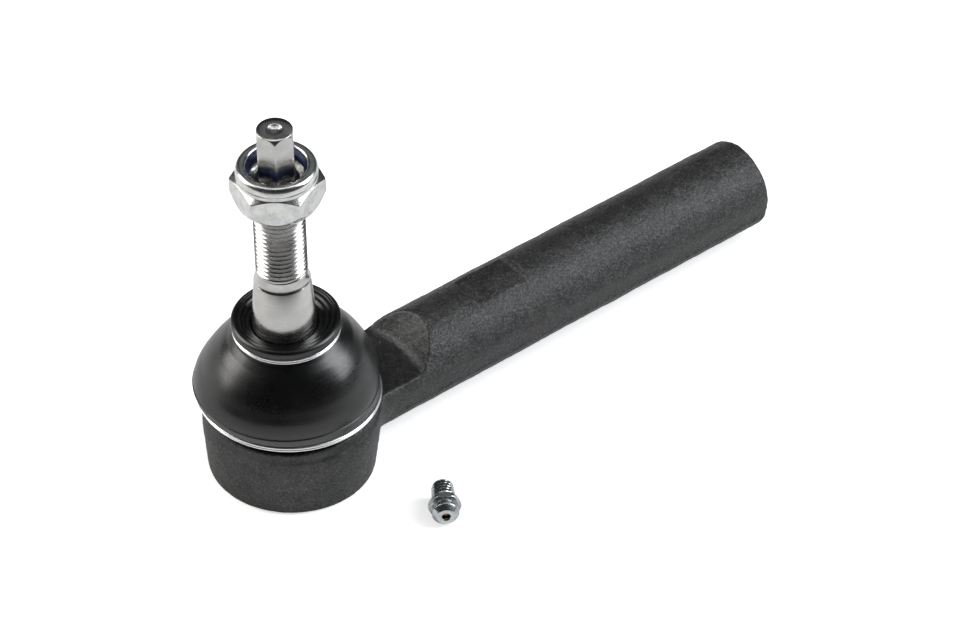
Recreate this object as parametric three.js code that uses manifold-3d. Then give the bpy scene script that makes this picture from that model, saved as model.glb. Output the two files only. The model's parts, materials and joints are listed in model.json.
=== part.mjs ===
// Outer tie rod end of a car's steering: a forged housing with a threaded arm, a tapered ball stud
// between two bearing seats, a rubber dust boot held by two wire rings, a lock nut with a nylon
// insert, and a grease fitting that is packed loose with it.
// Units are millimetres and degrees. Z is up and the arm runs along +X. While the pieces are made,
// the axis of the cup's machined bore is the Z axis and the cup stands on the plane z = 0.

import * as THREE from 'three';
import { mergeVertices } from 'three/addons/utils/BufferGeometryUtils.js';
import Module from 'manifold-3d';

const wasm = await Module();
wasm.setup();

// ------------------------------------------------------------------ driving dimensions

const GAP = 0.3; // clearance between neighbouring pieces
const OVERSHOOT = 1; // how far a cutting body runs past the face it opens
const WELD = 1e-4; // corners closer than this are one corner

// forged skin: it sits slightly off the machined bore, as a forging does
const SKIN_X = 0.45;
const SKIN_Y = -0.33;
const CUP_BASE_R = 19.62;
const CUP_PARTING_R = 20.96;
const CUP_PARTING_Z = 13;
const CUP_TOP_R = 20.8;
const CUP_EDGE = 0.7; // rounded lower edge

// turned top of the cup, round the bore's axis
const TURNED_R = 20.55;
const TURNED_Z = 16.2; // floor of the turned clearance, which also bites into the arm's root
const TURNED_FLOOR_R = 33.3;
const TURNED_WALL_SLOPE = 0.71; // outward run of the clearance's wall for each unit of height
const TURNED_NOSE_R = 3;
const TURNED_EDGE = 0.5; // broken edges of the turned faces
const SHOULDER_Z = 19.2; // the boot's foot rests above this face
const NECK_R = 17.2;
const NECK_LIP_R = 17.9;
const NECK_LIP_Z = 22.3;
const NECK_TOP_Z = 23.6;

// arm
const ARM_AXIS_Z = 12.18;
const ARM_ROOT_R = 11.36;
const ARM_END_R = 11.18;
const ARM_END_X = 141.35;
const ARM_EDGE = 1;
const ARM_FILLET_R = 7; // concave fillet between the arm's sides and the cup
const SOCKET_R = 7.2; // core of an M16 x 1.5 female thread
const SOCKET_DEPTH = 72;
const SOCKET_CHAMFER = 1.2;
const DRILL_POINT_SLOPE = 0.6; // depth of the drill's point for each unit of radius
const FLAT_X = 52.8; // spanner flats, above and below
const FLAT_LENGTH = 15.7;
const FLAT_DEPTH = 1.15;

// bore, cover and bearing
const BALL_Z = 14.5;
const BALL_R = 9.5;
const CONE_LIMIT = 22; // the stud's largest angle from the bore's axis
const BORE_R = 13.5;
const BORE_TOP_Z = 19.9;
const COVER_LIP_R = 14.2; // rim rolled in under the cover plate
const COVER_R = 15.2;
const COVER_BOTTOM_Z = 1.1;
const COVER_THICKNESS = 1.6;
const COVER_CHAMFER = 0.4;
const GREASE_HOLE_R = 2.5; // core of an M6 x 1 tapped hole
const SEAT_SPLIT_Z = 14.1;
const SEAT_BOTTOM_Z = 5;
const SEAT_RELIEF = 2; // bevel under the lower seat
const SEAT_GRIP = 4.6; // height above the ball's centre up to which the upper seat holds it
const SPRING_R = 12.4;
const SPRING_HOLE_R = 6.5;
const SPRING_THICKNESS = 0.7;
const SPRING_DISH = 0.75;

// stud, measured along its own axis from the ball's centre
const LEAN = 2.72; // how far the stud leans at rest
const LEAN_HEADING = 190.6; // the way it leans, counted from +X towards +Y
const STUD_NECK_R = 5.8;
const STUD_NECK_END = 13.5;
const TAPER_START = 21.5;
const TAPER_START_R = 7.94;
const TAPER_END = 42;
const TAPER_END_R = 6.5;
const BALL_FLAT = -75; // the ball is cut flat underneath from this latitude down
const THREAD_START = 45.2;
const THREAD_R = 6; // M12 x 1.25
const THREAD_END = 72.8;
const THREAD_CHAMFER = 1;
const TIP_FACE_R = 4;
const TIP_FLATS = 8.2; // hexagon that holds the stud while the nut is turned
const TIP_TURN = -127.7; // heading of one of the hexagon's corners
const TIP_CHAMFER = 1.3;
const TIP_END = 86.5;
const CENTRE_DRILL_R = 1.9;
const CENTRE_DRILL_DEPTH = 1.3;

// lock nut and its insert, along the stud's axis
const NUT_START = 66;
const NUT_HEX_END = 73.1; // the crown stands on this plane
const NUT_END = 76.5;
const NUT_FLATS = 19;
const NUT_TURN = -130.7; // heading of the middle of one flat
const NUT_FACE_R = 9.3;
const NUT_BOTTOM_CHAMFER = 2.6;
const NUT_TOP_CHAMFER = 1;
const CROWN_R = 9.4;
const CROWN_ROUND = 1.4;
const CROWN_MOUTH_R = 6.95;
const NUT_LEAD_IN = 0.6; // countersink at the nut's lower face
const INSERT_POCKET_R = 8;
const INSERT_START = 73.4;
const INSERT_END = 75.5;

// dust boot: heights are from the cup's base, taken along the boot's own bent axis
const FOOT_R = 20.2;
const BAND_R = 21.75; // plain band round the boot's foot, above the lower ring
const BAND_BOTTOM_Z = 22.45;
const BAND_TOP_Z = 23.6;
const DOME_START = [21.66, 24.7]; // radius and height of the points that shape the dome
const DOME_BELLY = [21.4, 27];
const DOME_SHOULDER = [20.05, 30.5];
const DOME_FLANK = [17.87, 34.5];
const DOME_NECK = [14.57, 38.5];
const DOME_END_R = 12.6;
const BOOT_BEND_START = 20;
const BOOT_BEND_END = 41;
const BOOT_WALL = 1.6;
const BOOT_EDGE = 0.5; // rounding of the boot's moulded edges
const LIP_R = 12.85;
const LIP_TOP = 44.8;
const LIP_RIM = 1.6; // width of the lip's rim round its dished top
const LIP_DISH = 1.5;
const COLLAR_BOTTOM = 39.4; // the collar grips the stud from here up
const RING_GROOVE_R = 11.1;
const RING_GROOVE_START = 40.9;
const RING_GROOVE_END = 42.45;

// wire rings that clamp the boot
const LOWER_RING_R = 21.6;
const LOWER_RING_WIDTH = 1.1;
const LOWER_RING_Z = 21.05;
const LOWER_RING_HEIGHT = 1.1;
const UPPER_RING_R = 12.5;
const UPPER_RING_WIDTH = 1.1;
const UPPER_RING_START = 26.65;
const UPPER_RING_HEIGHT = 1.05;

// loose grease fitting, measured along its axis from its threaded end
const FITTING_X = 19.13;
const FITTING_Y = -32.98;
const FITTING_HEADING = -124.3;
const FITTING_FLATS = 7;
const FITTING_THREAD_R = 2.9;
const FITTING_THREAD_END_R = 2.6;
const FITTING_THREAD_LENGTH = 5.6;
const FITTING_LEAD_IN = 0.4;
const FITTING_HEX_LENGTH = 2.3;
const FITTING_HEX_CORNER_R = 3.9;
const FITTING_HEX_CHAMFER = 0.5;
const FITTING_NECK_R = 2.4;
const FITTING_NECK_LENGTH = 0.8;
const FITTING_HEAD_R = 3.25;
const FITTING_HEAD_EDGE = 0.45; // height of the head's cone and of its plain edge
const FITTING_FACE_R = 2.1;
const FITTING_LENGTH = 10.8;
const FITTING_CHAMBER_R = 1.6;
const FITTING_MOUTH_R = 1;
const FITTING_SEAT = 9.4;
const FITTING_SEAT_HEIGHT = 0.5;
const FITTING_OUTLET_R = 1;
const FITTING_OUTLET_LENGTH = 1.2;
const CHECK_BALL_R = 1.2;
const CHECK_BALL_AT = 8.75;
const FITTING_SPRING_R = 1.05;
const FITTING_SPRING_WIRE_R = 0.16;
const FITTING_SPRING_TURNS = 5;

// fineness of round pieces
const CUP_STEPS = 60;
const ARM_STEPS = 40;
const ROUND_STEPS = 36;
const SMALL_STEPS = 20;
const BALL_STEPS = 9; // rings between a ball's two ends
const DOME_STEPS = 8; // rings up the boot's dome

// ------------------------------------------------------------------ shape helpers

const radians = THREE.MathUtils.degToRad;
const point = (r, z) => new THREE.Vector2(r, z);

/** Points of an arc about (r, z), without its centre, from one angle to another. */
function arc(r, z, radius, from, to, steps) {
  const points = [];
  for (let i = 0; i <= steps; i += 1) {
    const angle = radians(from + ((to - from) * i) / steps);
    points.push(point(r + radius * Math.cos(angle), z + radius * Math.sin(angle)));
  }
  return points;
}

/** Turns a profile of (radius, height) points round the Z axis. */
function revolved(profile, steps = ROUND_STEPS) {
  return new THREE.LatheGeometry(profile, steps).rotateX(Math.PI / 2);
}

/** Turns a profile that doesn't touch the axis, closing it on itself. */
function ring(profile, steps = ROUND_STEPS) {
  return revolved([...profile, profile[0]], steps);
}

/** A hexagonal bar along Z with a flat that faces +X. */
function hexBar(acrossFlats, start, end) {
  const outline = new THREE.Shape();
  const cornerR = acrossFlats / Math.sqrt(3);
  for (let i = 0; i < 6; i += 1) {
    const angle = radians(30 + 60 * i);
    const corner = [cornerR * Math.cos(angle), cornerR * Math.sin(angle)];
    if (i === 0) outline.moveTo(...corner);
    else outline.lineTo(...corner);
  }
  outline.closePath();
  const bar = new THREE.ExtrudeGeometry(outline, { depth: end - start, bevelEnabled: false });
  return bar.translate(0, 0, start);
}

/** Index list without the triangles that have collapsed to a line. */
function liveTriangles(index) {
  const live = [];
  for (let i = 0; i < index.count; i += 3) {
    const [a, b, c] = [index.getX(i), index.getX(i + 1), index.getX(i + 2)];
    if (a !== b && b !== c && c !== a) live.push([a, b, c]);
  }
  return live;
}

/** Six times the signed volume inside the triangles. */
function signedVolume(position, triangles) {
  const [a, b, c] = [new THREE.Vector3(), new THREE.Vector3(), new THREE.Vector3()];
  let sum = 0;
  for (const [i, j, k] of triangles) {
    a.fromBufferAttribute(position, i);
    b.fromBufferAttribute(position, j);
    c.fromBufferAttribute(position, k);
    sum += a.dot(b.cross(c));
  }
  return sum;
}

/** A closed geometry as a solid that can be joined and cut. */
function solid(geometry) {
  const bare = new THREE.BufferGeometry();
  bare.setAttribute('position', geometry.getAttribute('position'));
  bare.setIndex(geometry.index);
  const welded = mergeVertices(bare, WELD);
  const position = welded.getAttribute('position');
  const triangles = liveTriangles(welded.index);
  if (signedVolume(position, triangles) < 0) triangles.forEach((triangle) => triangle.reverse());
  const mesh = new wasm.Mesh({
    numProp: 3,
    vertProperties: new Float32Array(position.array),
    triVerts: new Uint32Array(triangles.flat()),
  });
  return new wasm.Manifold(mesh);
}

/** A solid as a geometry for a mesh. */
function geometryOf(body) {
  const { vertProperties, triVerts } = body.getMesh();
  const geometry = new THREE.BufferGeometry();
  geometry.setAttribute('position', new THREE.BufferAttribute(vertProperties, 3));
  geometry.setIndex(new THREE.BufferAttribute(triVerts, 1));
  geometry.computeVertexNormals();
  return geometry;
}

/** A named piece with its own material. */
function piece(name, body, color, roughness, metalness) {
  const material = new THREE.MeshStandardMaterial({ color, roughness, metalness });
  const mesh = new THREE.Mesh(geometryOf(body), material);
  mesh.name = name;
  return mesh;
}

// ------------------------------------------------------------------ housing

/** Half width of the arm's root, which flares into the cup through a round fillet. */
function rootHalfWidth(x) {
  const centreY = ARM_ROOT_R + ARM_FILLET_R;
  const centreX = Math.sqrt((CUP_PARTING_R + ARM_FILLET_R) ** 2 - centreY ** 2);
  return centreY - Math.sqrt(ARM_FILLET_R ** 2 - (x - centreX) ** 2);
}

/** The flare between cup and arm: oval sections that narrow to the arm's own round one. */
function armRoot() {
  const reach = CUP_PARTING_R + ARM_FILLET_R;
  const endX = Math.sqrt(reach ** 2 - (ARM_ROOT_R + ARM_FILLET_R) ** 2);
  const startX = (endX * CUP_PARTING_R) / reach;
  const stations = 6;
  const bar = new THREE.CylinderGeometry(1, 1, 1, ARM_STEPS, stations);
  const position = bar.getAttribute('position');
  for (let i = 0; i < position.count; i += 1) {
    const x = startX + (position.getY(i) + 0.5) * (endX - startX);
    const y = position.getX(i) * rootHalfWidth(x);
    const z = position.getZ(i) * ARM_ROOT_R;
    position.setXYZ(i, x + SKIN_X, y + SKIN_Y, z + ARM_AXIS_Z);
  }
  return solid(bar);
}

function forgedSkin() {
  const cup = revolved([
    point(0, 0),
    ...arc(CUP_BASE_R - CUP_EDGE, CUP_EDGE, CUP_EDGE, -90, 0, 3),
    point(CUP_PARTING_R, CUP_PARTING_Z),
    point(CUP_TOP_R, TURNED_Z),
    point(CUP_TOP_R, NECK_TOP_Z + OVERSHOOT),
    point(0, NECK_TOP_Z + OVERSHOOT),
  ], CUP_STEPS).translate(SKIN_X, SKIN_Y, 0);
  const arm = revolved([
    point(0, SKIN_X),
    point(ARM_ROOT_R, SKIN_X),
    ...arc(ARM_END_R - ARM_EDGE, ARM_END_X - ARM_EDGE, ARM_EDGE, 0, 90, 3),
    point(0, ARM_END_X),
  ], ARM_STEPS).rotateY(Math.PI / 2).translate(0, SKIN_Y, ARM_AXIS_Z);
  return solid(cup).add(solid(arm)).add(armRoot());
}

/** What the lathe takes off outside the cup's shoulder, neck and the arm's root. */
function turnedClearance() {
  const wallTop = 2 * ARM_AXIS_Z + ARM_ROOT_R;
  const noseZ = TURNED_Z + TURNED_NOSE_R;
  const wallLength = Math.hypot(1, TURNED_WALL_SLOPE);
  const noseR = TURNED_FLOOR_R + TURNED_WALL_SLOPE * TURNED_NOSE_R - TURNED_NOSE_R * wallLength;
  const wallTilt = THREE.MathUtils.radToDeg(Math.atan(TURNED_WALL_SLOPE));
  return solid(revolved([
    point(0, NECK_TOP_Z),
    point(NECK_LIP_R - TURNED_EDGE, NECK_TOP_Z),
    point(NECK_LIP_R, NECK_TOP_Z - TURNED_EDGE),
    point(NECK_LIP_R, NECK_LIP_Z + TURNED_EDGE),
    point(NECK_R, NECK_LIP_Z),
    point(NECK_R, SHOULDER_Z),
    point(TURNED_R - TURNED_EDGE, SHOULDER_Z),
    point(TURNED_R, SHOULDER_Z - TURNED_EDGE),
    point(TURNED_R, TURNED_Z),
    ...arc(noseR, noseZ, TURNED_NOSE_R, -90, -wallTilt, 4),
    point(TURNED_FLOOR_R + TURNED_WALL_SLOPE * (wallTop - TURNED_Z), wallTop),
    point(0, wallTop),
  ], CUP_STEPS));
}

/** The bore from below, the cover's counterbore and the mouth that the stud swings in. */
function cavity() {
  const coverTop = COVER_BOTTOM_Z + COVER_THICKNESS + GAP;
  const swing = Math.tan(radians(CONE_LIMIT));
  const mouthR = STUD_NECK_R / Math.cos(radians(CONE_LIMIT)) + (BORE_TOP_Z - BALL_Z) * swing + 2 * GAP;
  const mouthTop = NECK_TOP_Z + OVERSHOOT;
  return solid(revolved([
    point(0, -OVERSHOOT),
    point(COVER_LIP_R, -OVERSHOOT),
    point(COVER_LIP_R, COVER_BOTTOM_Z - GAP),
    point(COVER_R + GAP, COVER_BOTTOM_Z - GAP),
    point(COVER_R + GAP, coverTop),
    point(BORE_R, coverTop),
    point(BORE_R, BORE_TOP_Z),
    point(mouthR, BORE_TOP_Z),
    point(mouthR + (mouthTop - BORE_TOP_Z) * swing, mouthTop),
    point(0, mouthTop),
  ]));
}

function armSocket() {
  const bottom = ARM_END_X - SOCKET_DEPTH;
  const mouthR = SOCKET_R + SOCKET_CHAMFER;
  return solid(revolved([
    point(0, bottom - SOCKET_R * DRILL_POINT_SLOPE),
    point(SOCKET_R, bottom),
    point(SOCKET_R, ARM_END_X - SOCKET_CHAMFER),
    point(mouthR, ARM_END_X),
    point(mouthR, ARM_END_X + OVERSHOOT),
    point(0, ARM_END_X + OVERSHOOT),
  ], ARM_STEPS).rotateY(Math.PI / 2).translate(0, SKIN_Y, ARM_AXIS_Z));
}

/** The cut for one spanner flat; side is 1 above the arm and -1 below it. */
function spannerFlat(side) {
  const height = ARM_ROOT_R - FLAT_DEPTH;
  const past = FLAT_DEPTH + OVERSHOOT;
  const outline = new THREE.Shape([
    point(FLAT_X + FLAT_DEPTH, height),
    point(FLAT_X + FLAT_LENGTH - FLAT_DEPTH, height),
    point(FLAT_X + FLAT_LENGTH + OVERSHOOT, height + past),
    point(FLAT_X - OVERSHOOT, height + past),
  ]);
  const width = 2 * ARM_ROOT_R;
  const cut = new THREE.ExtrudeGeometry(outline, { depth: width, bevelEnabled: false });
  cut.translate(0, 0, -width / 2).rotateX(Math.PI / 2).scale(1, 1, side);
  return solid(cut.translate(0, SKIN_Y, ARM_AXIS_Z));
}

function housing() {
  const tools = [turnedClearance(), cavity(), armSocket(), spannerFlat(1), spannerFlat(-1)];
  const body = tools.reduce((left, tool) => left.subtract(tool), forgedSkin());
  return piece('housing', body, 0x3a3b3c, 0.62, 0.35);
}

// ------------------------------------------------------------------ bearing and cover

/** Radius of the seats' hollow sphere at a height above the cup's base. */
const hollowR = (z) => Math.sqrt((BALL_R + GAP) ** 2 - (z - BALL_Z) ** 2);

/** Points down the seats' hollow sphere between two heights. */
function hollowArc(fromZ, toZ, steps) {
  const sphere = BALL_R + GAP;
  const from = THREE.MathUtils.radToDeg(Math.asin((fromZ - BALL_Z) / sphere));
  const to = THREE.MathUtils.radToDeg(Math.asin((toZ - BALL_Z) / sphere));
  return arc(0, BALL_Z, sphere, from, to, steps);
}

function upperBearingSeat() {
  const outer = BORE_R - GAP;
  const top = BORE_TOP_Z - GAP;
  const edgeZ = BALL_Z + SEAT_GRIP;
  const swing = Math.tan(radians(CONE_LIMIT));
  return piece('upper_bearing_seat', solid(ring([
    point(outer, SEAT_SPLIT_Z + GAP),
    point(outer, top),
    point(hollowR(edgeZ) + GAP + (top - edgeZ) * swing, top),
    ...hollowArc(edgeZ, SEAT_SPLIT_Z + GAP, 5),
  ])), 0xd9d2bf, 0.55, 0);
}

function lowerBearingSeat() {
  const outer = BORE_R - GAP;
  return piece('lower_bearing_seat', solid(ring([
    point(outer - SEAT_RELIEF, SEAT_BOTTOM_Z),
    point(outer, SEAT_BOTTOM_Z + SEAT_RELIEF),
    point(outer, SEAT_SPLIT_Z),
    ...hollowArc(SEAT_SPLIT_Z, SEAT_BOTTOM_Z, 8),
  ])), 0xd9d2bf, 0.55, 0);
}

/** Dished disc spring that presses the lower seat against the ball. */
function preloadSpring() {
  const bottom = COVER_BOTTOM_Z + COVER_THICKNESS + GAP;
  return piece('preload_spring', solid(ring([
    point(SPRING_R, bottom),
    point(SPRING_R, bottom + SPRING_THICKNESS),
    point(SPRING_HOLE_R, bottom + SPRING_THICKNESS + SPRING_DISH),
    point(SPRING_HOLE_R, bottom + SPRING_DISH),
  ])), 0x74777a, 0.4, 0.85);
}

function coverPlate() {
  const top = COVER_BOTTOM_Z + COVER_THICKNESS;
  return piece('cover_plate', solid(ring([
    point(GREASE_HOLE_R, COVER_BOTTOM_Z + COVER_CHAMFER),
    point(GREASE_HOLE_R + COVER_CHAMFER, COVER_BOTTOM_Z),
    point(COVER_R - COVER_CHAMFER, COVER_BOTTOM_Z),
    point(COVER_R, COVER_BOTTOM_Z + COVER_CHAMFER),
    point(COVER_R, top),
    point(GREASE_HOLE_R, top),
  ])), 0x8d9194, 0.38, 0.9);
}

// ------------------------------------------------------------------ stud and nut

const taperR = (s) => {
  const share = (s - TAPER_START) / (TAPER_END - TAPER_START);
  return TAPER_START_R + share * (TAPER_END_R - TAPER_START_R);
};

function ballStud() {
  const neckAngle = THREE.MathUtils.radToDeg(Math.acos(STUD_NECK_R / BALL_R));
  const runOut = THREAD_START - TAPER_END;
  const shank = revolved([
    point(0, BALL_R * Math.sin(radians(BALL_FLAT))),
    ...arc(0, 0, BALL_R, BALL_FLAT, neckAngle, BALL_STEPS),
    point(STUD_NECK_R, STUD_NECK_END),
    point((STUD_NECK_R + TAPER_START_R) / 2, (STUD_NECK_END + TAPER_START) / 2),
    point(TAPER_START_R, TAPER_START),
    point(TAPER_END_R, TAPER_END),
    point(TAPER_END_R, TAPER_END + runOut / 2),
    point(THREAD_R, THREAD_START),
    point(THREAD_R, THREAD_END - THREAD_CHAMFER),
    point(THREAD_R - THREAD_CHAMFER, THREAD_END),
    point(0, THREAD_END),
  ]);
  const cornerR = TIP_FLATS / Math.sqrt(3);
  const chamfered = revolved([
    point(0, THREAD_END - OVERSHOOT),
    point(cornerR, THREAD_END - OVERSHOOT),
    point(cornerR, TIP_END - TIP_CHAMFER),
    point(TIP_FACE_R, TIP_END),
    point(0, TIP_END),
  ]);
  const bar = hexBar(TIP_FLATS, THREAD_END - OVERSHOOT, TIP_END).rotateZ(radians(TIP_TURN - 30));
  const centreDrill = revolved([
    point(0, TIP_END - CENTRE_DRILL_DEPTH),
    point(CENTRE_DRILL_R, TIP_END),
    point(CENTRE_DRILL_R, TIP_END + OVERSHOOT),
    point(0, TIP_END + OVERSHOOT),
  ], SMALL_STEPS);
  const tip = solid(bar).intersect(solid(chamfered)).subtract(solid(centreDrill));
  return piece('ball_stud', solid(shank).add(tip), 0x9a9b9b, 0.3, 0.95);
}

function lockNut() {
  const cornerR = NUT_FLATS / Math.sqrt(3);
  const bodyBar = hexBar(NUT_FLATS, NUT_START, NUT_HEX_END).rotateZ(radians(NUT_TURN));
  const chamfers = revolved([
    point(0, NUT_START),
    point(NUT_FACE_R, NUT_START),
    point(cornerR, NUT_START + NUT_BOTTOM_CHAMFER),
    point(cornerR, NUT_HEX_END - NUT_TOP_CHAMFER),
    point(CROWN_R, NUT_HEX_END),
    point(0, NUT_HEX_END),
  ]);
  const crown = revolved([
    point(0, NUT_HEX_END - OVERSHOOT),
    point(CROWN_R, NUT_HEX_END - OVERSHOOT),
    ...arc(CROWN_R - CROWN_ROUND, NUT_END - CROWN_ROUND, CROWN_ROUND, 0, 90, 4),
    point(0, NUT_END),
  ]);
  const bore = THREAD_R + GAP;
  const hole = revolved([
    point(0, NUT_START - OVERSHOOT),
    point(bore + NUT_LEAD_IN, NUT_START - OVERSHOOT),
    point(bore + NUT_LEAD_IN, NUT_START),
    point(bore, NUT_START + NUT_LEAD_IN),
    point(bore, INSERT_START - GAP),
    point(INSERT_POCKET_R, INSERT_START - GAP),
    point(INSERT_POCKET_R, INSERT_END + GAP),
    point(CROWN_MOUTH_R, INSERT_END + GAP),
    point(CROWN_MOUTH_R, NUT_END + OVERSHOOT),
    point(0, NUT_END + OVERSHOOT),
  ]);
  const body = solid(bodyBar).intersect(solid(chamfers)).add(solid(crown)).subtract(solid(hole));
  return piece('lock_nut', body, 0xc9c8c2, 0.28, 0.95);
}

function nylonInsert() {
  return piece('nylon_insert', solid(ring([
    point(THREAD_R + GAP, INSERT_START),
    point(INSERT_POCKET_R - GAP, INSERT_START),
    point(INSERT_POCKET_R - GAP, INSERT_END),
    point(THREAD_R + GAP, INSERT_END),
  ])), 0x12193a, 0.45, 0);
}

// ------------------------------------------------------------------ boot and rings

/** Inner radius of the boot's collar, which follows the stud's taper. */
const collarR = (height) => taperR(height - BALL_Z) + GAP;

/** Outer outline of the dome, from the band to just under the upper ring. */
function domeOutline() {
  const shape = [DOME_START, DOME_BELLY, DOME_SHOULDER, DOME_FLANK, DOME_NECK];
  const end = point(DOME_END_R, RING_GROOVE_START - BOOT_EDGE);
  return new THREE.SplineCurve([...shape.map(([r, z]) => point(r, z)), end]).getPoints(DOME_STEPS);
}

/** Inner outline of the dome, from the collar down to the foot, one wall inside the outer one. */
function domeInside() {
  const outer = domeOutline();
  const inside = [];
  for (let i = outer.length - 2; i > 0; i -= 1) {
    const along = outer[i + 1].clone().sub(outer[i - 1]).normalize();
    inside.push(point(outer[i].x - along.y * BOOT_WALL, outer[i].y + along.x * BOOT_WALL));
  }
  return inside;
}

/** Leans the upper part of an upright boot with the stud, and the part between gradually. */
function bendWithStud(geometry) {
  const heading = radians(LEAN_HEADING);
  const hinge = new THREE.Vector3(-Math.sin(heading), Math.cos(heading), 0);
  const centre = new THREE.Vector3(0, 0, BALL_Z);
  const position = geometry.getAttribute('position');
  const corner = new THREE.Vector3();
  for (let i = 0; i < position.count; i += 1) {
    corner.fromBufferAttribute(position, i);
    const share = THREE.MathUtils.smoothstep(corner.z, BOOT_BEND_START, BOOT_BEND_END);
    corner.sub(centre).applyAxisAngle(hinge, radians(LEAN) * share).add(centre);
    position.setXYZ(i, corner.x, corner.y, corner.z);
  }
  return geometry;
}

function dustBoot() {
  const footBottom = SHOULDER_Z + GAP;
  const dishZ = LIP_TOP - LIP_DISH;
  const profile = [
    point(NECK_R + GAP, footBottom),
    point(FOOT_R - BOOT_EDGE, footBottom),
    point(FOOT_R, footBottom + BOOT_EDGE),
    point(FOOT_R, BAND_BOTTOM_Z),
    point(BAND_R - BOOT_EDGE, BAND_BOTTOM_Z),
    point(BAND_R, BAND_BOTTOM_Z + BOOT_EDGE),
    point(BAND_R, BAND_TOP_Z),
    ...domeOutline(),
    point(RING_GROOVE_R, RING_GROOVE_START),
    point(RING_GROOVE_R, RING_GROOVE_END),
    point(LIP_R, RING_GROOVE_END),
    point(LIP_R, LIP_TOP - BOOT_EDGE),
    point(LIP_R - BOOT_EDGE, LIP_TOP),
    point(LIP_R - LIP_RIM, LIP_TOP),
    point(collarR(dishZ) + BOOT_EDGE, dishZ),
    point(collarR(dishZ - BOOT_EDGE), dishZ - BOOT_EDGE),
    point(collarR(COLLAR_BOTTOM), COLLAR_BOTTOM),
    point(collarR(COLLAR_BOTTOM) + 2 * BOOT_EDGE, COLLAR_BOTTOM - BOOT_EDGE),
    ...domeInside(),
    point(NECK_LIP_R + 2 * GAP, NECK_TOP_Z + 2 * GAP),
    point(NECK_LIP_R + GAP, NECK_LIP_Z + GAP),
    point(NECK_R + GAP, NECK_LIP_Z - GAP),
  ];
  return piece('dust_boot', solid(bendWithStud(ring(profile, ROUND_STEPS))), 0x141414, 0.42, 0);
}

/** A clamp ring of two wire turns, drawn as one band with rounded edges. */
function wireRing(name, outerR, width, start, height) {
  const edge = height / 4;
  return piece(name, solid(ring([
    point(outerR - width, start),
    point(outerR - edge, start),
    point(outerR, start + edge),
    point(outerR, start + height - edge),
    point(outerR - edge, start + height),
    point(outerR - width, start + height),
  ])), 0xd4d6d8, 0.25, 1);
}

const lowerBootRing = () =>
  wireRing('lower_boot_ring', LOWER_RING_R, LOWER_RING_WIDTH, LOWER_RING_Z, LOWER_RING_HEIGHT);

const upperBootRing = () =>
  wireRing('upper_boot_ring', UPPER_RING_R, UPPER_RING_WIDTH, UPPER_RING_START, UPPER_RING_HEIGHT);

// ------------------------------------------------------------------ grease fitting

function fittingBody() {
  const hexStart = FITTING_THREAD_LENGTH;
  const hexEnd = hexStart + FITTING_HEX_LENGTH;
  const neckEnd = hexEnd + FITTING_NECK_LENGTH;
  const spindle = revolved([
    point(0, 0),
    point(FITTING_THREAD_END_R - FITTING_LEAD_IN, 0),
    point(FITTING_THREAD_END_R, FITTING_LEAD_IN),
    point(FITTING_THREAD_R, hexStart),
    point(FITTING_NECK_R, hexEnd),
    point(FITTING_NECK_R, neckEnd),
    point(FITTING_HEAD_R, neckEnd + FITTING_HEAD_EDGE),
    point(FITTING_HEAD_R, neckEnd + 2 * FITTING_HEAD_EDGE),
    point(FITTING_FACE_R, FITTING_LENGTH),
    point(0, FITTING_LENGTH),
  ], SMALL_STEPS);
  const collar = revolved([
    point(0, hexStart),
    point(FITTING_HEX_CORNER_R - FITTING_HEX_CHAMFER, hexStart),
    point(FITTING_HEX_CORNER_R, hexStart + FITTING_HEX_CHAMFER),
    point(FITTING_HEX_CORNER_R, hexEnd - FITTING_HEX_CHAMFER),
    point(FITTING_HEX_CORNER_R - FITTING_HEX_CHAMFER, hexEnd),
    point(0, hexEnd),
  ], SMALL_STEPS);
  const passage = revolved([
    point(0, -OVERSHOOT),
    point(FITTING_OUTLET_R, -OVERSHOOT),
    point(FITTING_OUTLET_R, FITTING_OUTLET_LENGTH),
    point(FITTING_CHAMBER_R, FITTING_OUTLET_LENGTH),
    point(FITTING_CHAMBER_R, FITTING_SEAT),
    point(FITTING_MOUTH_R, FITTING_SEAT + FITTING_SEAT_HEIGHT),
    point(FITTING_MOUTH_R, FITTING_LENGTH + OVERSHOOT),
    point(0, FITTING_LENGTH + OVERSHOOT),
  ], SMALL_STEPS);
  const hexagon = solid(hexBar(FITTING_FLATS, hexStart, hexEnd)).intersect(solid(collar));
  const body = solid(spindle).add(hexagon).subtract(solid(passage));
  return piece('grease_fitting_body', body, 0xc6c9ca, 0.25, 1);
}

function checkBall() {
  const ball = new THREE.SphereGeometry(CHECK_BALL_R, SMALL_STEPS, BALL_STEPS);
  ball.translate(0, 0, CHECK_BALL_AT);
  return piece('fitting_check_ball', solid(ball), 0x8a6f5a, 0.3, 0.9);
}

/** Coil spring under the check ball: a round wire swept along a helix. */
function fittingSpring() {
  const bottom = FITTING_OUTLET_LENGTH + GAP + FITTING_SPRING_WIRE_R;
  const top = CHECK_BALL_AT - CHECK_BALL_R - GAP / 3 - FITTING_SPRING_WIRE_R;
  const points = [];
  const steps = FITTING_SPRING_TURNS * 10;
  for (let i = 0; i <= steps; i += 1) {
    const angle = (i / steps) * FITTING_SPRING_TURNS * 2 * Math.PI;
    const height = bottom + (i / steps) * (top - bottom);
    const x = FITTING_SPRING_R * Math.cos(angle);
    points.push(new THREE.Vector3(x, FITTING_SPRING_R * Math.sin(angle), height));
  }
  const section = new THREE.Shape(arc(0, 0, FITTING_SPRING_WIRE_R, 0, 300, 5));
  const extrudePath = new THREE.CatmullRomCurve3(points);
  const coil = new THREE.ExtrudeGeometry(section, { steps, extrudePath, bevelEnabled: false });
  return piece('fitting_spring', solid(coil), 0x9b9d9f, 0.3, 1);
}

// ------------------------------------------------------------------ assembly

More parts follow.
